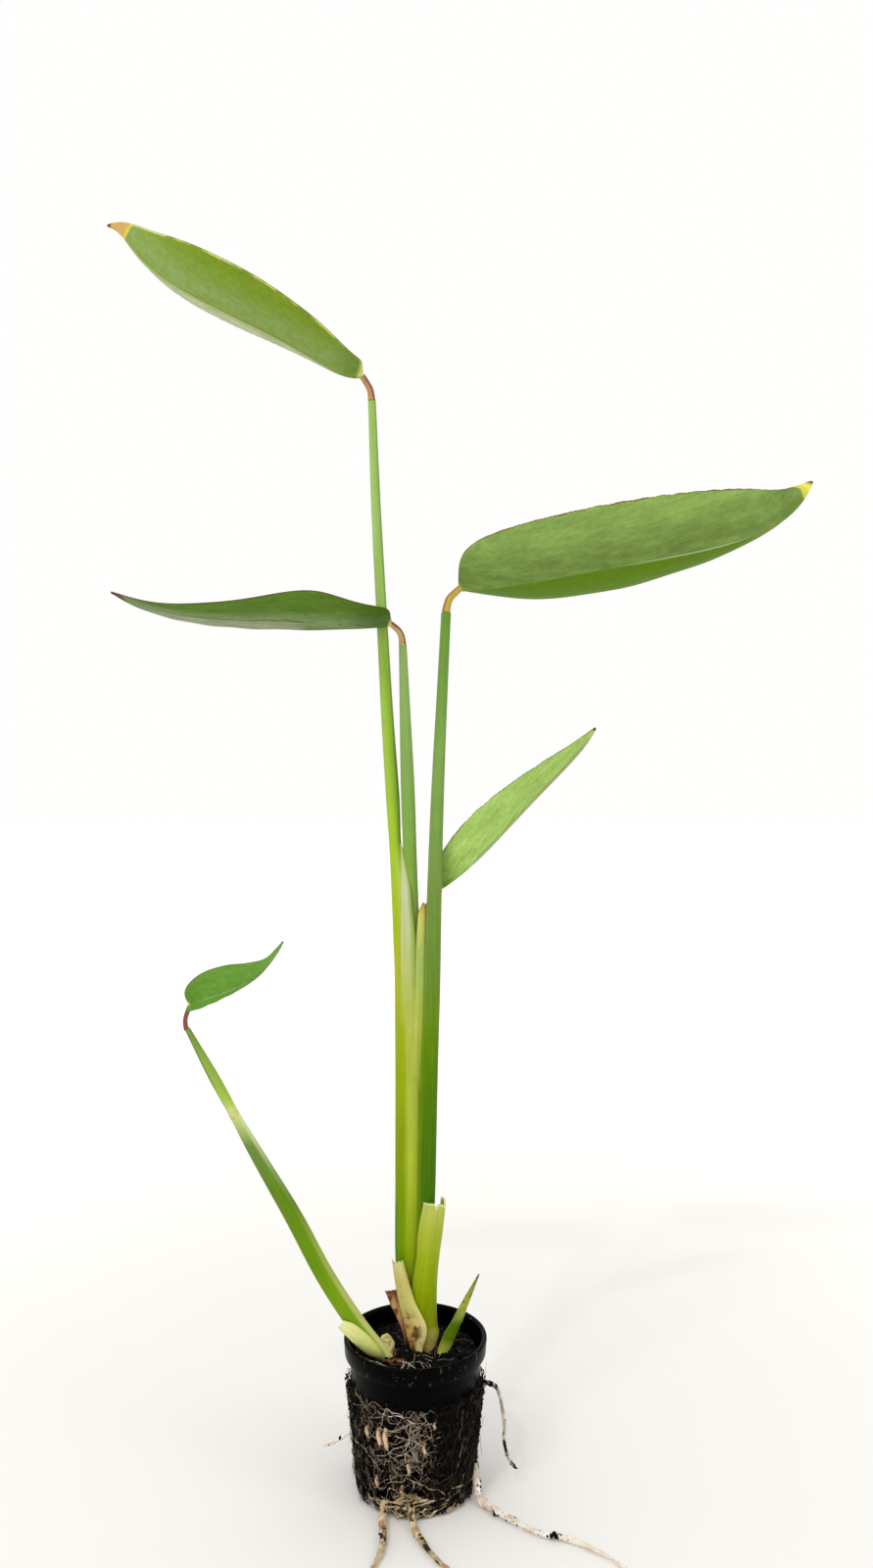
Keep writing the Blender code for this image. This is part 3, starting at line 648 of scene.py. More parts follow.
for name, count, degrees, proud, seed in (
        ("felt_crumbs", 2400, FELT_TURNS, (0.9, 2.2), 25),
        ("front_crumbs", 420, (-146, -72), (0.0, 0.6), 26)):
    turn = np.radians(pick.uniform(*degrees, count))
    level = FELT_HIGH * pick.beta(0.9, 1.2, count) + 0.8
    size = pick.gamma(2.0, 0.14, count) + 0.08
    made = grains(name, on_wall(turn, level, pick.uniform(*proud, count)), size, compost, seed)
    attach(made, "root")

# The thick roots
# Smooth cream roots as thick as string that leave by the slots and the base, lie out on the surface
# and thin to a thread. Black soil clings to them, and an old dark one hangs at the right.
LONG_ROOT = (
    (20.4, -4.6, 9.5, 1.2), (21, -7.4, 5, 1.3), (22.6, -12, 1.45, 1.25), (30.3, -20, 1.2, 1.1),
    (40.9, -28, 1, 0.9), (50.1, -31, 0.9, 0.8), (60.4, -38, 0.7, 0.6), (69, -47, 0.45, 0.3))
FRONT_LEFT_ROOT = (
    (-10.2, -17.6, 4.6, 1.2), (-10.4, -22, 1.6, 1.25), (-10, -28, 1.3, 1.2), (-10, -35, 1.05, 0.95),
    (-12, -43, 0.8, 0.7), (-15.5, -50, 0.5, 0.35))
FRONT_MIDDLE_ROOT = (
    (-1, -20.5, 4.6, 1.1), (-0.4, -24.6, 1.5, 1.15), (1.2, -29, 1.2, 1.1), (3.6, -34, 1, 0.9),
    (7.6, -40.5, 0.8, 0.7), (12.5, -46, 0.5, 0.35))
HANGING_ROOT = (
    (22.2, -2, 33.6, 0.8), (24.4, -2.1, 35.9, 0.7), (26.6, -2.2, 35.7, 0.62), (28.4, -2.4, 33.9, 0.6),
    (29.6, -2.5, 30.4, 0.55), (30.5, -2.6, 25.1, 0.55), (31, -2.6, 20.5, 0.5), (30.7, -2.7, 16.8, 0.5),
    (31.5, -2.8, 12.7, 0.45), (33, -2.9, 8.9, 0.42), (34.8, -3, 6.9, 0.3))
SIDE_ROOT_LEFT = ((-21.2, -2, 19.8, 0.5), (-28, -2.4, 15.6, 0.45), (-32, -2.6, 14.4, 0.3))
# A root, its number of crumbs, and the part of its length that they cling to in clumps
CRUMBS_ON_ROOTS = (
    (LONG_ROOT, 210, 0.0, 0.66), (FRONT_LEFT_ROOT, 70, 0.0, 0.7), (FRONT_MIDDLE_ROOT, 60, 0.0, 0.6),
    (HANGING_ROOT, 130, 0.0, 0.3), (HANGING_ROOT, 60, 0.84, 1.0), (SIDE_ROOT_LEFT, 12, 0.0, 0.8))
CLUMPS = 14
LOWEST_CRUMB = 0.35


def rod(name, stations, material, sides, steps, across=(1, 0, 0), relief=None):
    """An oval rod through its stations of x, y, z, half width and half depth, steps points to a span.

    At each point of the path an oval stands square to it, its width along the direction across.
    relief gives extra radius from the distance along the rod and the angle round it. The seam is at
    the back, so that in the UV map 0.25 across is the left side, 0.5 the front and 0.75 the right.
    """
    path = through(stations, steps)
    centre, half_width, half_depth = path[:, :3], path[:, 3], path[:, -1]
    ahead = unit(np.gradient(centre, axis=0))
    wide = np.array(across, float)
    wide = unit(wide - (ahead @ wide)[:, None] * ahead)
    deep = np.cross(ahead, wide)
    turn = np.pi / 2 + np.linspace(0, 2 * np.pi, sides, endpoint=False)[None, :]
    along = np.append(0, np.cumsum(np.linalg.norm(np.diff(centre, axis=0), axis=1)))[:, None]
    extra = relief(along, turn) if relief else 0
    first = (np.cos(turn) * (half_width[:, None] + extra))[..., None] * wide[:, None]
    second = (np.sin(turn) * (half_depth[:, None] + extra))[..., None] * deep[:, None]
    grid = centre[:, None] + first + second
    return skin(name, grid, material, ends="fan", marks={"along": along + 0 * turn})


def layered(colour, *layers):
    """A colour with others laid over it in turn: each layer has its share and its colour."""
    for share, cover in layers:
        colour = tinted(share, colour, cover)
    return colour


def root_finish(name, clean, dirty, cover):
    """Root skin: the clean colour, stained in long patches where it has lain in the soil."""
    material, shader, tree = finish(name, 0.5)
    place = object_place(tree)
    patch = ease(grain(place, 210.0, 5.0, 0.65), cover - 0.05, cover + 0.03)
    speck = ease(grain(place, 1300.0, 3.0, 0.6), 0.62, 0.7)
    tone = stops(grain(place, 260.0), (0.4, *clean[0]), (0.62, *clean[1]))
    rust = ease(grain(place, 240.0), 0.5, 0.62, 0.0, 0.6)
    stained = layered(tone, (rust, clean[2]), (calc("MAXIMUM", patch, speck), dirty))
    fill(shader, {"Base Color": stained, "Roughness": ease(patch, 0, 1, 0.42, 0.75)})
    bumped(shader, grain(place, 900.0, 4.0), 0.15)
    return material


def knobbly(seed, size):
    """Relief for a root: slow swellings along it and small pits round it."""
    def relief(along, turn):
        points = np.stack(np.broadcast_arrays(along, 2 * np.cos(turn), 2 * np.sin(turn)), -1)
        return size * (0.8 * ripple(points * (1, 0.2, 0.2), 6.0, seed) + 0.5 * ripple(points, 2.2, seed + 1))
    return relief


cream = root_finish("cream root", ((222, 208, 190), (246, 240, 230), (198, 150, 112)), (52, 38, 28), 0.64)
tan_root = root_finish("tan root", ((176, 152, 114), (216, 198, 164), (156, 114, 76)), (50, 34, 22), 0.57)
old_root = root_finish("old root", ((186, 172, 150), (212, 204, 190), (120, 92, 70)), (12, 10, 8), 0.52)
ROOTS = {
    "long_root": ("long_root_right", LONG_ROOT, cream, 0.16, "root"),
    "front_left_root": ("root_front_left", FRONT_LEFT_ROOT, tan_root, 0.18, "root"),
    "front_middle_root": ("root_front_middle", FRONT_MIDDLE_ROOT, tan_root, 0.16, "root"),
    "old_hanging_root": ("hanging_root", HANGING_ROOT, old_root, 0.12, "old_root"),
    "left_rootlet": ("side_root_left", SIDE_ROOT_LEFT, cream, 0.06, "root"),
}
for number, (name, (cad_node, stations, material, size, slot)) in enumerate(ROOTS.items()):
    relief = knobbly(30 + number, size)
    made = rod(name, stations, material, sides=18, steps=14, across=(0.3, -0.4, 1), relief=relief)
    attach(made, "root")
    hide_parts(cad_node)

pick = np.random.default_rng(31)
crumbs = []
for stations, count, first, last in CRUMBS_ON_ROOTS:
    path = through(stations, 30)
    clump = pick.choice(pick.uniform(first, last, CLUMPS), count) + pick.normal(0, 0.018, count)
    at = path[(np.clip(clump, 0, 1) * (len(path) - 1)).astype(int)]
    centres = at[:, :3] + unit(pick.normal(size=(count, 3))) * at[:, 3:4] * 0.95
    centres[:, 2] = np.maximum(centres[:, 2], LOWEST_CRUMB)
    crumbs.append(np.column_stack([centres, pick.gamma(2.0, 0.11, count) + 0.08]))
crumbs = np.concatenate(crumbs)
made = grains("root_crumbs", crumbs[:, :3], crumbs[:, 3], compost, 32)
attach(made, "root")

# Short stout roots that show in the slots and a tangle that hugs the foot of the pot
SLOT_ROOTS = (
    (-139.8, 23.4, 27.6, 0.75), (-124.4, 22.2, 28.8, 0.8), (-117.2, 22, 29.4, 0.8),
    (-80.6, 20.6, 25.6, 0.6), (-131.4, 7, 11, 0.6), (-95.4, 14.2, 19.6, 0.6), (-102.6, 5, 10.6, 0.6),
    (-71.8, 29.6, 32.6, 0.5))
FOOT_ROOTS = 60
FOOT_RADIUS = 19.0
stout = [np.array([(*on_wall(np.radians(a) + bend, z, lift), width) for z, bend, lift in (
    (low, 0.0, -0.9), (low * 0.7 + high * 0.3, 0.01, -0.05), (low * 0.3 + high * 0.7, -0.01, 0.0),
    (high, 0.0, -0.9))]) for a, low, high, width in SLOT_ROOTS]
stout = np.array([through(stations, 6) for stations in stout])
made = threads("slot_roots", stout[..., :3], stout[..., 3], litter_brown, np.full(len(stout), 1.0), sides=10)
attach(made, "root")

heading = np.where(pick.uniform(0, 1, FOOT_ROOTS) < 0.5, 0.0, np.pi) + pick.normal(0, 0.5, FOOT_ROOTS)
track = wander(FOOT_ROOTS, 26, pick.uniform(0.2, 0.6, (FOOT_ROOTS, 1)), 0.07, pick, heading)
turn = np.radians(pick.uniform(-120, -20, FOOT_ROOTS))[:, None] + track[..., 0] / FOOT_RADIUS
level = 0.5 + np.abs(pick.uniform(0.2, 7.0, FOOT_ROOTS)[:, None] + track[..., 1] * 0.5 - 0.5)
paths = on_wall(turn, level, pick.uniform(0.3, 2.2, (FOOT_ROOTS, 1)))
paths = paths + 0.5 * ripple(paths, 5.0, 33)[..., None] * (1, 1, 0)
taper = np.linspace(1.1, 0.4, 26) * pick.gamma(2.0, 0.08, (FOOT_ROOTS, 1)) + 0.08
made = threads("foot_roots", paths, taper, tan_root, sides=7)
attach(made, "root")

# The stalks
# Each leaf stands on a round green stalk, ribbed by fine strands, waxy above and pale or yellowish
# low down. The tall leaf's stalk widens into the sheath that makes the lower stem.
TALL_STALK = (
    (-0.6, 4.9, 42, 2.4, 2.5), (-2, 4.7, 60, 3.6, 3.2), (-2.4, 4.4, 76, 4.75, 3.3),
    (-2.15, 4.2, 105, 5.05, 3.3), (-2.2, 4.2, 140, 5, 3.3), (-2.9, 4.2, 175, 4.5, 3.4),
    (-3.6, 4.3, 189, 4.3, 3.3), (-5.1, 4.6, 204, 3.4, 2.9), (-7.1, 5.4, 221, 2.2, 2.2),
    (-8.2, 6, 240, 2.4, 2.3), (-10.3, 7, 271, 2.15, 2.1), (-12.3, 7.6, 307, 1.9, 1.9),
    (-14.2, 7.4, 343, 1.7, 1.7), (-15.6, 7, 380, 1.4, 1.4))
MIDDLE_STALK = (
    (-0.5, 4.7, 190, 2, 1.9), (-1.75, 3.6, 213, 2.35, 2), (-2.75, 1.8, 243, 2.4, 2.1),
    (-3.6, 0, 268, 1.9, 1.8), (-4.4, -1, 292.5, 1.35, 1.4))
BROAD_STALK = (
    (4, 2.8, 42, 2.2, 2.1), (4.2, 2.2, 56, 2.5, 2.3), (4, 1.6, 74, 2.7, 2.5), (3.9, 1.2, 93, 2.8, 2.7),
    (4.1, 1, 107, 3, 2.8), (4.8, 1, 141, 3, 2.8), (5.9, 1, 175, 2.8, 2.7), (6.7, 1, 210, 2.55, 2.4),
    (7.9, 1, 245, 2.2, 2.1), (9.3, 1, 275, 1.9, 1.9), (10.7, 1, 304, 1.7, 1.7))
YOUNG_STALK = ((2.3, 5.4, 160, 0.9, 1.4), (2.6, 5.5, 178, 1.1, 1.4), (2.9, 5.5, 196, 1, 1.2))


def new_group(name, taken):
    """A node group and its inputs, of the kinds of the values given by name.

    It puts out a colour, a roughness and a height.
    """
    tree = bpy.data.node_groups.new(name, "ShaderNodeTree")
    for side, sockets in (("INPUT", taken), ("OUTPUT", {"Colour": (0, 0, 0), "Roughness": 0, "Height": 0})):
        for socket, value in sockets.items():
            kind = "NodeSocketColor" if isinstance(value, tuple) else "NodeSocketFloat"
            tree.interface.new_socket(socket, in_out=side, socket_type=kind)
    return tree, tree.nodes.new("NodeGroupInput").outputs


def put_out(tree, *results):
    """Ends a node group with its colour, roughness and height."""
    fill(tree.nodes.new("NodeGroupOutput"), dict(enumerate(results)))


def round_stem(tree):
    """How far round the stem a point is: 0.25 at the left, 0.5 in front, 0.75 at the right."""
    uv = node("UVMap", tree=tree).outputs[0]
    return node("SeparateXYZ", {0: uv}).outputs[1]


# Fine lengthwise strands for stems and sheaths: a colour with darker and paler lines, and a height
STRANDS = {"Colour": (0, 0, 0), "Line count": 60.0, "Line strength": 0.25, "Dirt": 0.3}
strand_lines, given = new_group("lengthwise strands", STRANDS)
turns = times(round_stem(strand_lines), given["Line count"])
lines = node("CombineXYZ", {0: turns, 1: times(mark(strand_lines, "along"), 0.035)}).outputs[0]
line = grain(lines, 1.0, 2.0, 0.6)
dark, pale = (times(ease(line, 0.5, far), given["Line strength"]) for far in (0.72, 0.3))
deeper = tinted(dark, given["Colour"], (0.45, 0.55, 0.4, 1), "MULTIPLY")
lighter = tinted(times(pale, 0.35), deeper, (0.5, 0.6, 0.1, 1), "SCREEN")
place = object_place(strand_lines)
blotch = grain(place, 90.0)
shaded = tinted(ease(blotch, 0.3, 0.7, 0.0, 0.35), lighter, (0.75, 0.8, 0.7, 1), "MULTIPLY")
dirt = times(ease(grain(place, 1100.0, 2.0), 0.72, 0.76), given["Dirt"])
put_out(strand_lines, tinted(dirt, shaded, (60, 45, 28)), ease(blotch, 0.3, 0.7, 0.32, 0.5), line)


def by_height(tree, *colours):
    """Colours up the plant: each has its height in millimetres and its three values."""
    low, high = colours[0][0], colours[-1][0]
    share = node("MapRange", {0: height_in(tree), 1: low * MM, 2: high * MM}).outputs[0]
    return stops(share, *(((height - low) / (high - low), *colour) for height, *colour in colours))


def grouped(shader, group, values, distance, strength):
    """Feeds what a node group makes of the values to the shader."""
    colour, roughness, height = node("Group", values, shader.id_data, node_tree=group).outputs
    fill(shader, {"Base Color": colour, "Roughness": roughness})
    bumped(shader, height, distance, strength)


def stem_finish(name, colours, *lines_and_dirt):
    """A stem's material: the strands over its colours by height, or over what a function makes.

    The number and strength of the lines and the dirt can be given.
    """
    material, shader, tree = finish(name, 0.4, 0.05)
    colour = colours(tree) if callable(colours) else by_height(tree, *colours)
    values = {**STRANDS, **dict(zip(STRANDS, (colour, *lines_and_dirt)))}
    grouped(shader, strand_lines, values, 0.12, 0.7)
    return material


def tall_colour(tree):
    """Yellow green at the left of the lower stem, a pale stripe in front, deeper at the right."""
    left = by_height(
        tree, (44, 150, 150, 40), (60, 100, 134, 4), (81, 108, 142, 0), (106, 118, 141, 0),
        (140, 140, 160, 4), (175, 161, 173, 32), (215, 155, 182, 38), (280, 150, 186, 76),
        (330, 158, 188, 106), (380, 146, 180, 90))
    front = by_height(
        tree, (44, 170, 160, 62), (60, 140, 154, 20), (80, 144, 164, 10), (110, 165, 182, 50),
        (150, 170, 179, 70), (188, 186, 194, 110), (222, 148, 182, 44), (280, 148, 184, 68),
        (330, 150, 178, 100), (380, 139, 172, 84))
    right = by_height(
        tree, (44, 128, 128, 30), (60, 92, 124, 2), (110, 104, 134, 2), (150, 148, 162, 46),
        (188, 174, 182, 96), (222, 112, 146, 40), (280, 112, 150, 50), (380, 116, 154, 66))
    v = round_stem(tree)
    low_left = times(ease(v, 0.4, 0.3), ease(height_in(tree), 0.104, 0.09))
    return layered(left, (ease(v, 0.43, 0.5), front), (ease(v, 0.58, 0.68), right), (low_left, (68, 122, 0)))


def broad_colour(tree):
    """Deep green, almost bottle green near the soil, paler and waxy towards the leaf, with painted light as
    a paler band down its left side.
    """
    middle = by_height(
        tree, (44, 140, 144, 30), (64, 70, 108, 0), (110, 61, 102, 0), (155, 87, 124, 2),
        (205, 108, 136, 62), (250, 119, 155, 77), (304, 99, 138, 51))
    # The paler colour of the band down the stalk's left side: painted light where the light falls on it.
    side = by_height(
        tree, (44, 130, 140, 26), (64, 98, 134, 0), (155, 112, 146, 6), (205, 134, 158, 90),
        (304, 124, 154, 86))
    v = round_stem(tree)
    # Where the painted light lies: a band down the left side of the stalk.
    edge = minus(ease(v, 0.42, 0.28), ease(v, 0.2, 0.1))
    return tinted(edge, middle, side)


def ribbed(count, height):
    """Relief for a stem: shallow ribs, as many as count round it."""
    return lambda along, turn: height * np.cos(count * turn) + 0 * along


STALKS = {
    "tall_stalk": ("tall_leaf_stalk", TALL_STALK, tall_colour),
    "middle_stalk": ("middle_leaf_stalk", MIDDLE_STALK, (
        (188, 136, 156, 76), (215, 120, 156, 62), (250, 126, 159, 84), (293, 133, 164, 96))),
    "broad_stalk": ("broad_leaf_stalk", BROAD_STALK, broad_colour),
    "young_stalk": ("young_leaf_stalk", YOUNG_STALK, (
        (160, 140, 150, 60), (184, 124, 146, 44), (197, 134, 156, 62))),
}
for name, (cad_node, stations, colours) in STALKS.items():
    made = rod(name, stations, stem_finish(name, colours), sides=48, steps=12, relief=ribbed(14, 0.02))
    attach(made, "root")
    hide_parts(cad_node)

# The sheath margins
# Where the tall leaf's sheath opens, its thin pale edge wraps the front of the middle stalk, and a
# second one inside it wraps the young leaf's stalk. They are skins of the stem, dry at their tips.
MARGIN_THICKNESS = 0.35
SHEATH_ROWS = 110
SHEATH_COLUMNS = 48
SHEATH_RIPPLES = 0.05
# The share of its thickness that a sheath keeps at its two edges
SHEATH_EDGE = 0.35


def wrapped(name, stations, thickness, material, span=1.0, top=None):
    """A sheath: a part of a pipe between two edges, open at the back.

    A station holds the left edge's x, y, z, the right edge's, and how far the front bulges beyond
    them. Across it the wall turns span half circles from the left edge. top gives the share of the
    length that is left at each place across, for a torn or cut end. The wall thins towards its edges.
    """
    path = through(stations, 12)
    share = np.linspace(0, 1, SHEATH_COLUMNS)[None, :]
    length = np.linspace(0, 1, SHEATH_ROWS)[:, None]
    at = length * (top(share) if top else 1 + 0 * share) * (len(path) - 1)
    first = np.clip(at.astype(int), 0, len(path) - 2)
    part = (at - first)[..., None]
    here = path[first] * (1 - part) + path[first + 1] * part
    middle, half = (here[..., :3] + here[..., 3:6]) / 2, (here[..., 3:6] - here[..., :3]) / 2
    turn = (np.pi * span * share)[..., None]
    grid = middle - np.cos(turn) * half + np.sin(turn) * here[..., 6:] * (0, -1, 0)
    grid = grid + SHEATH_RIPPLES * ripple(grid, 3.0, 41)[..., None] * (0, 1, 0)
    away = unit(np.cross(np.gradient(grid, axis=0), np.gradient(grid, axis=1)))
    thins = SHEATH_EDGE + (1 - SHEATH_EDGE) * np.sin(np.pi * share) ** 0.5
    away = away * (thickness / 2 * thins)[..., None]
    ring = np.concatenate([grid + away, (grid - away)[:, ::-1]], 1)
    along = at / (len(path) - 1) * np.linalg.norm(path[-1, :3] - path[0, :3])
    marks = {"along": along, "across": share + 0 * along, "length": length + 0 * along}
    marks = {mark: np.concatenate([value, value[:, ::-1]], 1) for mark, value in marks.items()}
    return skin(name, ring, material, ends="strip", marks=marks)


def outer_margin_colour(tree):
    """Waxy grey green where it stands free, going over to the stem's yellow green below."""
    grey = by_height(
        tree, (146, 166, 173, 66), (166, 171, 180, 80), (184, 178, 186, 118), (204, 188, 193, 150),
        (222, 172, 186, 122))
    green = by_height(
        tree, (146, 158, 170, 60), (180, 140, 160, 66), (204, 122, 152, 68), (222, 128, 158, 68))
    across = mark(tree, "across")
    low_left = times(ease(across, 0.36, 0.1), ease(height_in(tree), 0.172, 0.15))
    return layered(grey, (ease(across, 0.5, 0.85), green), (low_left, (148, 165, 16)))


OUTER_MARGIN = (
    (-4, 2.9, 138, 1.5, 2.8, 138, 0.2), (-4.8, 1.6, 158, 1, 1.8, 158, 0.6),
    (-5.1, 1.4, 175, 0.3, 1.2, 175, 1), (-5.2, 1.6, 189, 0, 1, 189, 1.3),
    (-5.2, 2.2, 199, -0.9, 1.2, 199, 1.2), (-5.2, 2.8, 208, -1.6, 1.8, 207, 1),
    (-5.2, 3.4, 216, -3.3, 2.8, 215.5, 0.7), (-5.4, 3.8, 223, -5, 3.6, 222.6, 0.2))
INNER_MARGIN = (
    (-2.4, 1.6, 128, 2, 3.4, 128, 0.2), (-1.4, 1.4, 144, 3, 2.2, 144, 0.5),
    (-0.6, 1.2, 160, 3.6, 2, 160, 0.8), (-0.2, 1.1, 175, 3.7, 1.8, 175, 0.9),
    (0.2, 1.1, 186, 3.7, 1.8, 186, 0.9), (0.6, 1.4, 194, 3.6, 2, 194, 0.8),
    (1.1, 1.8, 199, 3.5, 2.2, 199, 0.5), (2.5, 2.2, 202.4, 3.2, 2.4, 202.2, 0.1))
INNER_COLOURS = (
    (130, 164, 174, 62), (160, 170, 180, 76), (180, 160, 182, 96), (192, 182, 194, 104),
    (198, 200, 186, 100), (203, 172, 132, 58))
for name, stations, colours, lines in (
        ("outer_sheath_margin", OUTER_MARGIN, outer_margin_colour, 30.0),
        ("inner_sheath_margin", INNER_MARGIN, INNER_COLOURS, 16.0)):
    made = wrapped(name, stations, MARGIN_THICKNESS, stem_finish(name, colours, lines, 0.3, 0.5))
    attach(made, "root")

# The knees
# The short joint that turns a blade on its stalk: smooth and slightly waisted, tan or orange on the
# inner side and dark red brown on the outer.
TALL_KNEE = (
    (-15.7, 7, 380.2, 1.35), (-15.9, 7, 382.5, 1.2), (-16.6, 6.5, 384.8, 1.15), (-19, 5.2, 388.4, 1.1))
MIDDLE_KNEE = (
    (-4.45, -1, 292.4, 1.3), (-4.8, -1.1, 295.2, 1.15), (-6, -1.5, 297.5, 1.1), (-9, -3.2, 299.9, 1))
BROAD_KNEE = (
    (10.7, 1, 304.2, 1.5), (11.2, 1, 306.8, 1.35), (12.2, 1.1, 309.2, 1.3), (15.6, 1.4, 312.6, 1.15))
YOUNG_KNEE = ((2.95, 5.5, 196.2, 1.1), (3.6, 5.6, 199.2, 1), (4.9, 5.9, 201.9, 1), (8.8, 6, 206.8, 1))
SIDE_KNEE = (
    (-78.2, -7.9, 159.8, 0.85), (-78.6, -7.95, 162, 0.8), (-78.4, -8, 164.4, 0.78), (-77.1, -8, 168, 0.85))


def knee_finish(name, inner, outer, dark_at):
    """Knee skin: the outer colour on the side given as a place round it, with fine cross wrinkles."""
    material, shader, tree = finish(name, 0.42, 0.08)
    away = calc("ABSOLUTE", minus(round_stem(tree), dark_at))
    place = object_place(tree)
    share = ease(minus(away, times(grain(place, 500.0), 0.12)), 0.16, 0.02)
    wrinkle = grain(scaled(place, (0.25, 0.25, 1.6)), 1400.0, 2.0)
    fill(shader, {"Base Color": layered(inner, (share, outer), (ease(wrinkle, 0.5, 0.75, 0, 0.4), outer))})
    bumped(shader, wrinkle, 0.15)
    return material


KNEES = {
    "tall_knee": ("tall_leaf_knee", TALL_KNEE, (174, 132, 90), (122, 62, 50), 0.72, "knee"),
    "middle_knee": ("middle_leaf_knee", MIDDLE_KNEE, (176, 158, 98), (128, 62, 48), 0.74, "knee"),
    "broad_knee": ("broad_leaf_knee", BROAD_KNEE, (184, 156, 70), (140, 96, 56), 0.27, "knee"),
    "young_knee": ("young_leaf_knee", YOUNG_KNEE, (134, 152, 58), (122, 126, 48), 0.3, "knee"),
    "side_knee": ("side_leaf_knee", SIDE_KNEE, (140, 84, 66), (98, 48, 44), 0.3, "side_knee"),
}
for name, (cad_node, stations, inner, outer, dark_at, slot) in KNEES.items():
    made = rod(name, stations, knee_finish(name, inner, outer, dark_at), sides=32, steps=14)
    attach(made, "root")
    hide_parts(cad_node)

# The blades
# Five thin lance-shaped leaves, each folded along its rib like an open boat. Fine side veins leave
# the rib at a low angle. Undersides carry a grey bloom of wax; margins are thin, dry and toothed.
BLADE_ROWS = 320
BLADE_HALF_COLUMNS = 22
BLADE_TIP_HALF = 0.25
BLADE_THICKNESS = 0.42
# The share of that thickness at the margin, and the width over which the blade thins to it
BLADE_EDGE = 0.4
BLADE_EDGE_WIDTH = 1.2
RIB_SPREAD = 0.75
# How fast the base's extra reach and extra fold fade out, as powers
BASE_REACH_FADE = 20
BASE_FOLD_FADE = 40
# The least and the most that a step between teeth is, as a share of their pitch
UNEVEN_TEETH = (0.75, 1.3)
# Shapes and looks of the tall, the middle, the broad, the young and the side blade, in this order. Teeth
# have a depth and a pitch, and waves a lift and a length, first on the near half, then on the far half.
BLADE_SHAPES = {
    "rib": (
        ((-18.4, 5, 388.5), (-39.4, 5.8, 386.7), (-36.9, 7.2, 415.7), (-114.7, 8.8, 412.7),
         (-93.8, 10.4, 439.7), (-111, 12, 445)),
        ((-8.2, -3.4, 299.6), (-40.4, -3.9, 297.9), (-31.7, -4.6, 300.4), (-48.4, -5.4, 303.2),
         (-74.7, -6, 294.7), (-104.5, -6, 310)),
        ((15, 1.5, 312.5), (42, 0, 312), (81.5, -4, 328), (125, -8, 318), (134.5, -12, 346.5)),
        ((9.3, 6, 206.8), (30, 6, 221), (34.5, 6, 236.5), (57.5, 6, 250.5), (63.5, 6, 264)),
        ((-77.5, -8, 168.3), (-70.5, -9, 171.5), (-50, -10, 175), (-51.5, -10, 182), (-45, -10, 190.5))),
    "half_width": (18.0, 17.6, 26.7, 13.5, 10.9),
    "swell": (0.7, 0.28, 0.35, 0.43, 0.44),
    "taper": (0.99, 0.5, 0.73, 0.92, 0.63),
    "base": ((4.2, 11), (1.6, 14), (2.5, 0), (2.5, 0), (1.5, 0)),
    "near": (
        (53, 12, 48, 82, 76), (15, 44, 23, 11, 4), (42, 27, 46, 83), (90, 62, 47, 48), (-18, 2, 14, -21)),
    "far": (
        (14, 16, -5, 14, -5), (3, 6, -11, 3, -10), (13, -29, -1, 16), (80, 54, 43, 43), (95, 44, 12, 4)),
    "rib_height": (0.75, 0.75, 0.8, 1.5, 0.7),
    "camber": (0.05, 0.04, 0.06, 0.05, 0.05),
    "teeth": (
        ((0.0, 2.0), (0.6, 2.4)), ((0.0, 2.0), (0.2, 2.0)), ((0.35, 1.3), (0.0, 2.0)),
        ((0.35, 1.6), (0.2, 1.8)), ((0.35, 1.5), (0.0, 1.5))),
    "wave": (
        ((0.1, 22), (0.16, 2.6)), ((0.15, 26), (0.15, 16)), ((0.18, 7), (0.2, 30)),
        ((0.15, 12), (0.1, 12)), ((0.2, 7), (0.1, 12))),
}
LEAF_LOOKS = {
    "Green": ((116, 142, 40), (90, 122, 44), (136, 167, 86), (163, 195, 104), (118, 150, 78)),
    "Deep": ((82, 114, 18), (50, 80, 12), (86, 112, 46), (98, 134, 34), (74, 116, 36)),
    "Upper green": ((108, 140, 44), (88, 122, 46), (96, 136, 44), (140, 178, 70), (104, 148, 58)),
    "Bloom": ((138, 160, 98), (126, 144, 104), (98, 121, 58), (166, 192, 122), (146, 164, 118)),
    # The far half's colour: its own underside, and on the broad leaf painted light shining through it
    "Far half and light through": ((196, 196, 162), (156, 162, 134), (88, 124, 0), (150, 186, 80), (104, 148, 58)),
    "Margin": ((204, 204, 112), (104, 82, 46), (122, 118, 52), (124, 144, 100), (104, 124, 56)),
    "Edge": ((104, 100, 46), (92, 68, 46), (98, 78, 40), (118, 108, 104), (84, 98, 50)),
    "Rib": ((160, 176, 118), (164, 168, 134), (164, 176, 140), (142, 136, 124), (160, 182, 130)),
    "Border": ((206, 194, 84), (112, 104, 56), (206, 206, 84), (140, 160, 80), (110, 140, 60)),
    "Tip": ((194, 158, 92), (104, 92, 56), (222, 214, 92), (110, 124, 84), (110, 140, 60)),
    "Bloom cover": (0.8, 0.9, 0.9, 0.5, 0.6),
    "Bloom reach": (13.0, 7.0, 18.0, 3.0, 4.0),
    "Far cover": (0.9, 0.85, 1.0, 0.4, 0.0),
    "Far from": (0.14, 0.4, -1.0, -1.0, -1.0),
    "Far until": (0.84, 0.94, 0.8, 0.9, 0.9),
    "Margin width": (0.55, 0.3, 0.5, 0.3, 0.25),
    "Tip from": (0.885, 0.985, 0.957, 0.985, 0.99),
    "Point from": (0.985, 0.968, 0.992, 0.982, 0.985),
    "Vein run": (90.0, 80.0, 120.0, 60.0, 24.0),
    "Vein strength": (0.34, 1.0, 0.75, 0.9, 0.5),
    "Rib width": (0.5, 0.4, 0.26, 0.7, 0.3),
    "Rib from": (0.14, 0.36, 0.46, 0.16, 0.1),
    "Rib until": (0.84, 0.9, 0.72, 0.92, 0.6),
    "Base deep": (0.8, 1.0, 0.1, 1.0, 0.3),
    "Collar": (3.4, 2.0, 2.0, 1.6, 1.2),
}


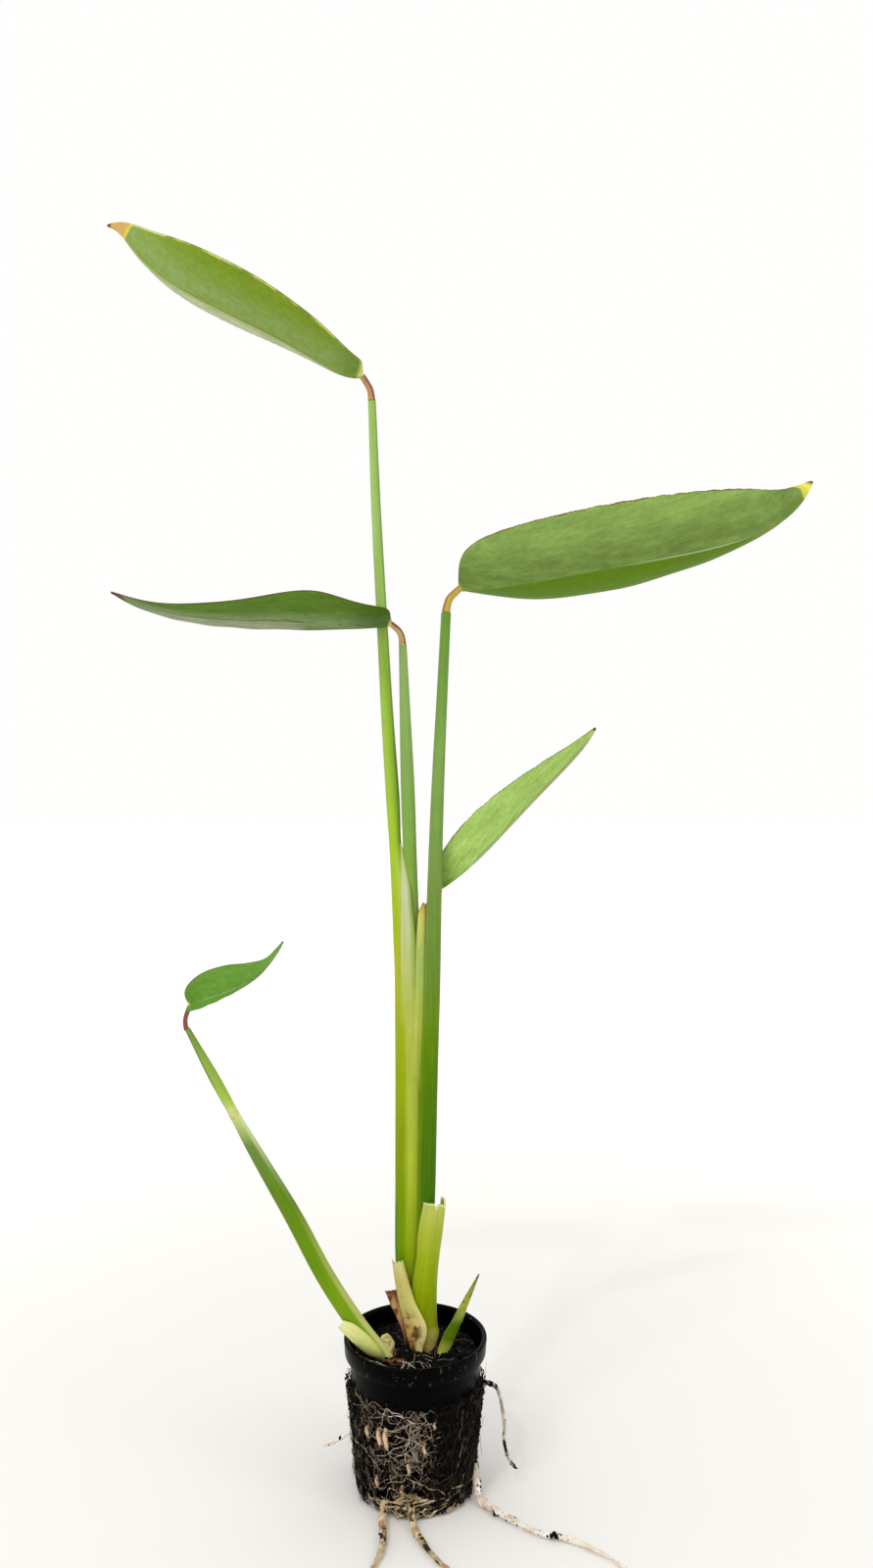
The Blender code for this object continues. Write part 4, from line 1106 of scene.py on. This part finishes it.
def blend(values, t):
    """The Bernstein curve over the control values, at each t from 0 to 1."""
    given = np.array(values, float)
    top = len(given) - 1
    weights = [comb(top, i) * t**i * (1 - t) ** (top - i) for i in range(top + 1)]
    return np.stack(weights, axis=-1) @ given


def leaf_surface(rib, half_width, swell, taper, base, near, far, rib_height, camber, teeth, wave, seed):
    """Points of a blade's two faces as one flattened ring, and what its finish reads at each point.

    A half reaches half_width times t^swell (1-t)^taper, scaled to 1 at its widest, from the rib, a
    Bernstein curve, at the fold angle above level. base adds a reach and a fold that fade out fast.
    Camber bows each half towards the underside by a share of its reach. Teeth, in millimetres,
    notch the margin, and wave lifts it up and down.
    """
    even = np.linspace(0, 1, BLADE_ROWS)
    t = 0.5 * even + 0.5 * (0.5 - 0.5 * np.cos(np.pi * even))
    widest = swell / (swell + taper)
    outline = t**swell * (1 - t) ** taper / (widest**swell * (1 - widest) ** taper)
    reach = half_width * outline + base[0] * (1 - t) ** BASE_REACH_FADE + BLADE_TIP_HALF * t
    middle = blend(rib, t)
    ahead = unit(np.gradient(middle, axis=0))
    right = unit(np.cross(ahead, (0, 0, 1)))
    up = np.cross(right, ahead)
    along = np.append(0, np.cumsum(np.linalg.norm(np.diff(middle, axis=0), axis=1)))
    grows_right = rib[-1][0] > rib[0][0]
    pick = np.random.default_rng(seed)
    half_share = 0.5 - 0.5 * np.cos(np.pi * np.linspace(0, 1, BLADE_HALF_COLUMNS))
    faces, normals, places = [], [], []
    for side in (-1, 1):
        is_near = (side == 1) == grows_right
        half = 0 if is_near else 1
        extra = base[1] * is_near * (1 - t) ** BASE_FOLD_FADE
        fold = np.radians(blend((near, far)[half], t) + extra)[:, None]
        outwards = side * np.cos(fold) * right + np.sin(fold) * up
        upwards = -side * np.sin(fold) * right + np.cos(fold) * up
        depth, pitch = teeth[half]
        phase = np.cumsum(pick.uniform(*UNEVEN_TEETH, BLADE_ROWS)) / pitch * along[-1] / BLADE_ROWS
        notch = depth * (phase % 1) * np.sin(np.pi * t) ** 0.5 * (0.6 + 0.4 * np.sin(phase * 1.7 + seed))
        lift, length = wave[half]
        rise = lift * np.sin(2 * np.pi * along / length + 2 * np.sin(along / length * 0.9 + seed))
        out = (half_share[::-1] if side < 0 else half_share[1:])[None, :, None]
        distance = out * (reach - notch * out.max())[:, None, None]
        bow = camber * reach[:, None, None] * 4 * out * (1 - out)
        grid = middle[:, None] + distance * outwards[:, None] - bow * upwards[:, None]
        grid = grid + (rise * np.sin(np.pi * t) ** 0.5)[:, None, None] * out**3 * upwards[:, None]
        faces.append(grid)
        normals.append(np.broadcast_to(upwards[:, None], grid.shape))
        sign = 1 if is_near else -1
        distance = distance[..., 0]
        parts = np.broadcast_arrays(along[:, None], sign * distance, reach[:, None] - distance)
        places.append(np.stack(parts, -1))
    grid, away = np.concatenate(faces, 1), unit(np.concatenate(normals, 1))
    place = np.concatenate(places, 1)
    from_rib = np.abs(place[..., 1:2])
    thin = (1 - 0.5 * t)[:, None, None]
    inwards = np.clip(place[..., 2:3] / BLADE_EDGE_WIDTH, 0, 1)
    plain = BLADE_THICKNESS * thin * (BLADE_EDGE + (1 - BLADE_EDGE) * inwards)
    ridge = rib_height * thin * np.exp(-((from_rib / RIB_SPREAD) ** 2))
    upper, lower = grid + away * (plain / 2 - 0.2 * ridge), grid - away * (plain / 2 + ridge)
    ring = np.concatenate([upper, lower[:, ::-1]], 1)
    face_up = np.concatenate([np.ones(grid.shape[:2]), np.zeros(grid.shape[:2])], 1)
    share = np.broadcast_to(t[:, None], ring.shape[:2])
    marks = {"place": np.concatenate([place, place[:, ::-1]], 1), "upper": face_up, "share": share}
    return ring, marks


# Leaf skin: side veins, wax bloom, a far half in its own underside colour with painted light shining through
# it, painted shade beside the rib, and the rib, margin, base and tip colours
leaf_skin, given = new_group("leaf skin", {socket: values[0] for socket, values in LEAF_LOOKS.items()})
where = node("Attribute", tree=leaf_skin, attribute_name="place").outputs["Vector"]
along, across, edge = node("SeparateXYZ", {0: where}).outputs
upper, share = mark(leaf_skin, "upper"), mark(leaf_skin, "share")


def streaks(first, second, detail, roughness=0.6):
    """Noise over a plane: each direction is a value and how fine the noise is along it."""
    plane = node("CombineXYZ", {0: times(*first), 1: times(*second)}).outputs[0]
    return grain(plane, 1.0, detail, roughness)


def after(name, softness):
    """How far a point is beyond the share of the blade that the input names."""
    return ease(minus(share, given[name]), -softness, softness)


from_rib = calc("ABSOLUTE", across)
reach = plus(plus(from_rib, edge), 0.01)
vein = minus(along, times(over(from_rib, reach), given["Vein run"]))
lane = plus(times(calc("GREATER_THAN", across, 0.0), 40.0), from_rib)
fine = streaks((vein, 0.5), (lane, 0.55), 4.0, 0.68)
broad = streaks((vein, 0.16), (lane, 0.13), 3.0)
cloud = streaks((along, 0.16), (across, 0.3), 5.0, 0.62)
mottle = streaks((along, 0.42), (across, 0.8), 5.0, 0.72)
patch = streaks((along, 0.07), (across, 0.2), 4.0)
# The far half: its own underside colour, and on the broad leaf painted light shining through it from above.
far_half_and_light_through = times(ease(across, 0.12, -0.12), given["Far cover"], after("Far from", 0.06),
                 after("Far until", -0.06))
near_rib = over(from_rib, given["Bloom reach"])
cover = times(ease(near_rib, 1.2, 0.25), given["Bloom cover"],
              ease(plus(patch, cloud), 0.74, 1.24, 0.5, 1.0), minus(1.0, upper), minus(1.0, far_half_and_light_through))
at_base = times(ease(share, 0.3, 0.04), given["Base deep"])
streak = times(ease(fine, 0.53, 0.7), ease(broad, 0.36, 0.6), given["Vein strength"],
               plus(ease(near_rib, 1.6, 0.4, 0.45, 1.0), at_base))
body = layered(
    given["Green"], (upper, given["Upper green"]), (far_half_and_light_through, given["Far half and light through"]),
    (ease(patch, 0.34, 0.68, 0.0, 0.3), given["Deep"]), (cover, given["Bloom"]),
    (times(ease(share, 0.16, 0.02), given["Base deep"], 0.6), given["Deep"]), (streak, given["Deep"]))
veined = plus(times(minus(fine, 0.5), given["Vein strength"]), 0.5)
shade = times(ease(mottle, 0.3, 0.7, 0.89, 1.1), ease(veined, 0.3, 0.7, 1.12, 0.88))
body = node("VectorMath", {0: body, "Scale": shade}, operation="SCALE").outputs[0]
along_rib = times(after("Rib from", 0.07), after("Rib until", -0.06))
# Painted shade: a darker line in the crease just beside the rib on the near half.
shade_beside_rib = calc("ABSOLUTE", minus(across, given["Rib width"]))
rib = ease(over(from_rib, given["Rib width"]), 1.0, 0.35)
base = over(plus(along, times(from_rib, 0.4)), given["Collar"])
ragged = over(minus(edge, times(grain(where, 0.9, 2.0), 0.5)), given["Margin width"])
present = ease(streaks((along, 0.09), (across, 0.01), 2.0, 0.55), 0.42, 0.56, 0.05, 1.0)
creep = times(ease(edge, 2.4, 0.3), ease(across, 0.3, -0.3, 0.012, 0.045))
flame = plus(plus(share, creep), times(minus(patch, 0.5), 0.05))
flame = minus(minus(flame, times(across, 0.005)), given["Tip from"])
body = layered(
    body, (times(ease(shade_beside_rib, 0.5, 0.1), along_rib, 0.45), given["Deep"]),
    (times(rib, along_rib, 0.8), given["Rib"]), (ease(base, 1.0, 0.3, 0.0, 0.85), (200, 200, 112)),
    (times(ease(ragged, 1.0, 0.3), present), given["Margin"]),
    (times(ease(edge, 0.26, 0.1), 0.85), given["Edge"]),
    (ease(flame, -0.01, 0.002, 0.0, 0.85), given["Border"]), (ease(flame, 0.008, 0.02), given["Tip"]),
    (after("Point from", 0.006), (96, 66, 58)))
put_out(leaf_skin, body, plus(ease(patch, 0.3, 0.7, 0.36, 0.48), times(cover, 0.15)), fine)


def leaf_finish(name, look):
    """A leaf's material: the shared leaf skin with this leaf's own colours and measures."""
    material, shader, tree = finish(name, 0.4, 0.01)
    grouped(shader, leaf_skin, {socket: linear(value) for socket, value in look.items()}, 0.16, 0.8)
    return material


for number, (name, cad_node, slot) in enumerate((
        ("tall_blade", "tall_leaf_blade", "leaf"),
        ("middle_blade", "middle_leaf_blade", "leaf"),
        ("broad_blade", "broad_leaf_blade", "leaf"),
        ("young_blade", "young_leaf_blade", "young_leaf"),
        ("side_blade", "side_leaf_blade", "leaf"))):
    shape, look = ({key: values[number] for key, values in table.items()}
                   for table in (BLADE_SHAPES, LEAF_LOOKS))
    ring, marks = leaf_surface(**shape, seed=51 + number)
    made = skin(name, ring, leaf_finish(name, look), ends="strip", marks=marks)
    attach(made, "root")
    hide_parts(cad_node)

# The side shoot
# A second, younger stem that leans out over the rim from the rhizome, with a pale ring half way up
# where its own leaf stalk leaves the sheath, and a cut pale sheath and a yellow stub at its foot.
SIDE_STEM = (
    (-8.5, -4.4, 43.6, 2.3, 2.2), (-12.2, -4.4, 48, 2.8, 2.6), (-20.3, -4.6, 57.8, 3.2, 2.9),
    (-31.3, -5, 74.9, 3.2, 2.9), (-41.9, -5.6, 95.1, 3.05, 2.7), (-53.7, -6.3, 115.6, 2.45, 2.2),
    (-62.2, -6.9, 130.9, 1.75, 1.7))
SIDE_STALK = (
    (-61.9, -6.9, 130.4, 1.7, 1.6), (-68.8, -7.3, 143.2, 1.85, 1.6), (-78, -7.9, 160.3, 0.95, 0.9))
RHIZOME_STUB = (
    (-8.6, -2.4, 45, 1.9, 1.9), (-9.4, -2.2, 49, 2.3, 2.1), (-10.2, -2, 51, 2.1, 1.9),
    (-10.7, -1.9, 52.2, 1.5, 1.4))
NODE_RING = (
    (-61.5, -6.85, 129.6, 1.72), (-61.9, -6.9, 130.3, 1.8), (-62.4, -6.9, 131.2, 1.79),
    (-62.8, -6.95, 132, 1.66))
RING_COLOURS = ((129, 180, 180, 108), (131, 204, 198, 130), (133, 188, 188, 112))


def side_stem_colour(tree):
    """Bright green above, with a pale right edge low down and grey green under the ring."""
    body = by_height(
        tree, (44, 206, 210, 120), (54, 124, 164, 20), (62, 118, 154, 14), (80, 100, 138, 8),
        (104, 92, 127, 22), (120, 103, 135, 62), (131, 198, 210, 132))
    pale = by_height(
        tree, (44, 214, 216, 140), (66, 180, 186, 106), (84, 146, 168, 66), (100, 100, 134, 36),
        (111, 130, 156, 88), (120, 176, 190, 136), (131, 212, 219, 160))
    return tinted(ease(round_stem(tree), 0.57, 0.66), body, pale)


def side_stalk_colour(tree):
    """Pale over the ring, greener above, and darker along the left."""
    body = by_height(
        tree, (130, 216, 216, 146), (136, 162, 186, 78), (146, 138, 168, 72), (160, 114, 142, 66))
    left = by_height(
        tree, (130, 192, 190, 124), (138, 162, 182, 84), (143, 112, 132, 52), (152, 90, 118, 44),
        (160, 112, 140, 64))
    return tinted(ease(round_stem(tree), 0.46, 0.36), body, left)


def stub_colour(tree):
    """Pale yellow with brown spots, darker at the foot."""
    spot = ease(grain(object_place(tree), 700.0, 4.0, 0.7), 0.52, 0.62, 0.0, 0.75)
    warm = by_height(tree, (44, 164, 140, 84), (49, 220, 206, 144), (53, 204, 184, 124))
    return tinted(spot, warm, (78, 58, 38))


smooth = ribbed(12, 0.015)
for name, cad_node, stations, colours, slot, relief in (
        ("side_stem", "side_shoot_stem", SIDE_STEM, side_stem_colour, "side_stem", smooth),
        ("side_stalk", "side_leaf_stalk", SIDE_STALK, side_stalk_colour, "side_stem", smooth),
        ("side_node_ring", None, NODE_RING, RING_COLOURS, "side_stem", smooth),
        ("rhizome_end", "rhizome_stub", RHIZOME_STUB, stub_colour, "rhizome", knobbly(61, 0.4))):
    made = rod(name, stations, stem_finish(name, colours), sides=40, steps=12, relief=relief)
    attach(made, "root")
    if cad_node:
        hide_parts(cad_node)

# The cut and dry sheaths
# Old leaf sheaths trimmed off short: a green one with a slanting cut in front of the stems, a beige
# dry one and a brown papery scale at its left, a cream one on the side shoot, a small one on the sprout.
MAIN_CUT_SHEATH = (
    (3.1, -1.5, 46, 5.5, -1, 46, 1.6), (1.6, -1.2, 49.6, 7, -0.6, 49, 2.4),
    (0, -0.8, 53, 7.9, 0, 52.4, 3.2), (-1, -0.6, 56.5, 7.3, 0.4, 55.9, 3.2),
    (-1.4, -0.4, 62.6, 7.1, 0.8, 62, 3.4), (-0.7, -0.3, 71.2, 7.3, 1, 70.6, 3.5),
    (0.55, -0.3, 79.4, 8.05, 1, 78.9, 3.2), (1, -0.3, 87.3, 9.1, 0.6, 86.8, 2.9),
    (2.7, -0.8, 96.5, 10.2, 0.3, 96.2, 2.5), (3, -0.9, 99.5, 10.6, 0.2, 99.5, 2.4))
DRY_SHEATH = (
    (-1.2, -0.5, 45, 1.8, -4, 45.5, 0.8), (-1.9, -0.5, 48.4, 2.6, -4.2, 49.5, 1.3),
    (-2.8, -0.5, 51.4, 3.8, -4.6, 53.6, 1.5), (-3.5, -0.5, 55, 3.7, -4.9, 57.2, 1.4),
    (-4.4, -0.5, 58.4, 2.2, -4.6, 60.5, 1.3), (-5.5, -0.5, 62.7, 0.1, -3.8, 64.3, 1.6),
    (-6.6, -0.4, 68.2, -1.7, -2.5, 69.1, 1.9), (-7.5, -0.2, 74, -3.4, -1.5, 74.5, 1.9),
    (-8.1, 0, 78.4, -4.6, -1, 78.6, 1.6))
BROWN_SCALE = (
    (-3.6, 1.8, 47, -2.6, 1.6, 47, 0.5), (-4.4, 1.8, 51.4, -3, 1.6, 51.4, 0.7),
    (-5.6, 1.8, 55, -3.6, 1.6, 55.4, 0.9), (-7.6, 1.8, 59, -4.6, 1.6, 59.6, 0.9),
    (-9.2, 1.8, 62.6, -5.8, 1.6, 64.6, 0.8), (-10.8, 1.7, 66.6, -6.4, 1.5, 68.4, 0.5))
SIDE_CUT_SHEATH = (
    (-11.6, -6.6, 46.8, -10.4, -7, 47.6, 0.8), (-13.4, -7.2, 47.7, -11.2, -7.6, 49.4, 1.2),
    (-15.6, -7.5, 48.6, -12.9, -8, 51.9, 1.6), (-18.6, -7.5, 50.6, -16.4, -8, 55.6, 1.7),
    (-22.9, -7.5, 54.6, -20.9, -8, 59.2, 1.6), (-26.3, -7.5, 58, -24.6, -8, 60.4, 1.3))
SPROUT_SHEATH = (
    (7.6, -2.9, 46.8, 10.9, -3.1, 46.8, 1.4), (8.6, -2.9, 50, 12.6, -3.1, 49.6, 1.3),
    (10.4, -2.8, 54, 14.2, -3, 53.4, 1.1), (13.2, -2.7, 58, 16.2, -2.8, 57.8, 0.8),
    (16.6, -2.5, 61.6, 17.6, -2.5, 61.4, 0.3))


def main_sheath_colour(tree):
    """Yellow green, cream and brown stained at the foot, pale at the cut and along the left edge."""
    body = by_height(
        tree, (45, 128, 96, 56), (49, 176, 154, 84), (52.5, 158, 155, 76), (56, 129, 136, 8),
        (61, 125, 143, 0), (68, 131, 151, 0), (79, 142, 161, 16), (88, 160, 171, 50), (95, 178, 186, 86))
    edge = ease(mark(tree, "across"), 0.1, 0.0, 0.0, 0.7)
    cut = ease(mark(tree, "length"), 0.975, 0.99)
    stain = ease(grain(object_place(tree), 260.0, 4.0, 0.65), 0.54, 0.64)
    low = times(stain, ease(height_in(tree), 0.06, 0.05))
    return layered(body, (edge, (194, 206, 110)), (cut, (216, 220, 160)), (low, (92, 84, 22)))


def dry_sheath_colour(tree):
    """Beige straw with a cream band up its right side, brown and stained where it meets the soil."""
    body = by_height(
        tree, (45, 92, 54, 30), (49, 188, 130, 68), (53, 212, 174, 108), (58, 204, 178, 108),
        (64, 198, 190, 112), (71, 190, 178, 102), (79, 198, 194, 134))
    across = mark(tree, "across")
    z = height_in(tree)
    band = times(ease(across, 0.42, 0.6), ease(across, 1.0, 0.85), ease(z, 0.067, 0.054))
    stain = ease(grain(object_place(tree), 230.0, 4.0, 0.65), 0.45, 0.55)
    foot = times(stain, ease(across, 0.8, 0.5), ease(z, 0.064, 0.056))
    return layered(body, (band, (226, 216, 142)), (ease(across, 0.1, 0.0, 0.0, 0.8), (150, 112, 72)),
                   (ease(across, 0.93, 1.0, 0.0, 0.6), (196, 200, 96)), (foot, (106, 62, 26)))


def scale_colour(tree):
    """Dark red brown with a tan middle and a thin pink left edge."""
    body = by_height(
        tree, (47, 60, 34, 24), (54, 176, 120, 84), (60, 214, 174, 112), (64, 184, 130, 84),
        (66, 104, 58, 42))
    across = mark(tree, "across")
    stain = ease(grain(scaled(object_place(tree), (1, 1, 0.4)), 560.0), 0.47, 0.58)
    return layered(body, (stain, (120, 70, 46)), (ease(across, 0.45, 0.95), (104, 58, 38)),
                   (ease(across, 0.16, 0.04), (222, 176, 130)))


def side_sheath_colour(tree):
    """Cream, greener towards the foot and pale at the cut end."""
    x = node("SeparateXYZ", {0: object_place(tree)}).outputs[0]
    share = node("MapRange", {0: x, 1: -27 * MM, 2: -10 * MM}).outputs[0]
    body = stops(share, (0.0, 232, 228, 182), (0.25, 220, 220, 146), (0.6, 206, 210, 122),
                 (0.85, 196, 196, 104), (1.0, 150, 140, 70))
    spot = ease(grain(object_place(tree), 900.0, 2.0), 0.62, 0.68)
    low = ease(share, 0.75, 0.95)
    return tinted(times(spot, low), body, (48, 36, 22))


def sprout_sheath_colour(tree):
    """Green with a pale left edge, yellow at the foot."""
    body = by_height(
        tree, (46, 206, 200, 122), (48.6, 170, 174, 70), (52, 90, 118, 8), (57, 74, 100, 4),
        (61, 140, 160, 70))
    return tinted(ease(mark(tree, "across"), 0.14, 0.03, 0.0, 0.8), body, (196, 208, 130))


def slanted_cut(share):
    """A slanting cut: a flat lobe at the left, a notch, a lower one at the right, and the high back."""
    notch = 0.05 * np.exp(-(((share - 0.44) / 0.035) ** 2))
    right = 0.055 * np.clip((share - 0.46) / 0.25, 0, 1)
    back = 0.09 * np.clip((share - 0.78) / 0.1, 0, 1)
    return 0.948 - notch - right + back + 0.003 * np.sin(share * 90)


def torn_end(share):
    """A torn end with a small nick near its left corner."""
    return 0.985 - 0.03 * np.exp(-(((share - 0.3) / 0.05) ** 2)) + 0.006 * np.sin(share * 23)


def pointed_end(share):
    """A dry end, highest at its left corner and a little frayed."""
    return 1 - 0.07 * share - 0.015 * np.abs(np.sin(share * 17))


SHEATHS = {
    "trimmed_sheath": (
        "main_cut_sheath", MAIN_CUT_SHEATH, 0.8, 1.3, main_sheath_colour, slanted_cut, "cut_sheath", 0.2),
    "straw_sheath": ("dry_sheath", DRY_SHEATH, 0.7, 1.0, dry_sheath_colour, torn_end, "dry_sheath", 0.7),
    "papery_scale": ("brown_scale", BROWN_SCALE, 0.35, 1.0, scale_colour, pointed_end, "brown_scale", 1.0),
    "side_trimmed_sheath": (
        "side_shoot_cut_sheath", SIDE_CUT_SHEATH, 0.7, 1.0, side_sheath_colour, None, "cut_sheath", 0.2),
    "sprout_scale": (
        "sprout_sheath", SPROUT_SHEATH, 0.5, 1.0, sprout_sheath_colour, None, "cut_sheath", 0.5),
}
for name, (cad_node, stations, thick, span, colours, top, slot, dirt) in SHEATHS.items():
    made = wrapped(name, stations, thick, stem_finish(name, colours, 40.0, 0.25, dirt), span, top)
    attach(made, "root")
    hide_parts(cad_node)

# The sprout
# A new leaf, still rolled into a spike, that comes up inside the rim at the right. It is green at
# the point and yellow with dark spots where it leaves the soil.
SPROUT_LEAF = (
    (8.8, -1.2, 42.5, 1.3, 1.3), (12.2, -0.9, 52, 1.7, 1.6), (16.9, -0.5, 62, 1.3, 1.2),
    (22.2, 0, 72.8, 0.25, 0.25))


def sprout_colour(tree):
    """Dull yellow at the foot, then deep green with a yellow band, and dark spots all over."""
    body = by_height(
        tree, (44, 160, 150, 70), (49, 110, 124, 32), (54, 72, 94, 6), (58, 104, 124, 24),
        (62, 166, 164, 62), (73, 100, 120, 48))
    spot = ease(grain(object_place(tree), 700.0, 2.0), 0.62, 0.68)
    return tinted(spot, body, (60, 52, 26))


def rolled(along, turn):
    """Relief for a rolled leaf: one shallow furrow that winds up it."""
    return -0.12 * np.exp(-((np.sin((turn - 1.2 - along * 0.02) / 2) / 0.2) ** 2))


sprout_skin = stem_finish("sprout skin", sprout_colour, 24.0, 0.45, 0.5)
made = rod("sprout", SPROUT_LEAF, sprout_skin, sides=32, steps=16, relief=rolled)
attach(made, "root")
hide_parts("sprout_leaf")
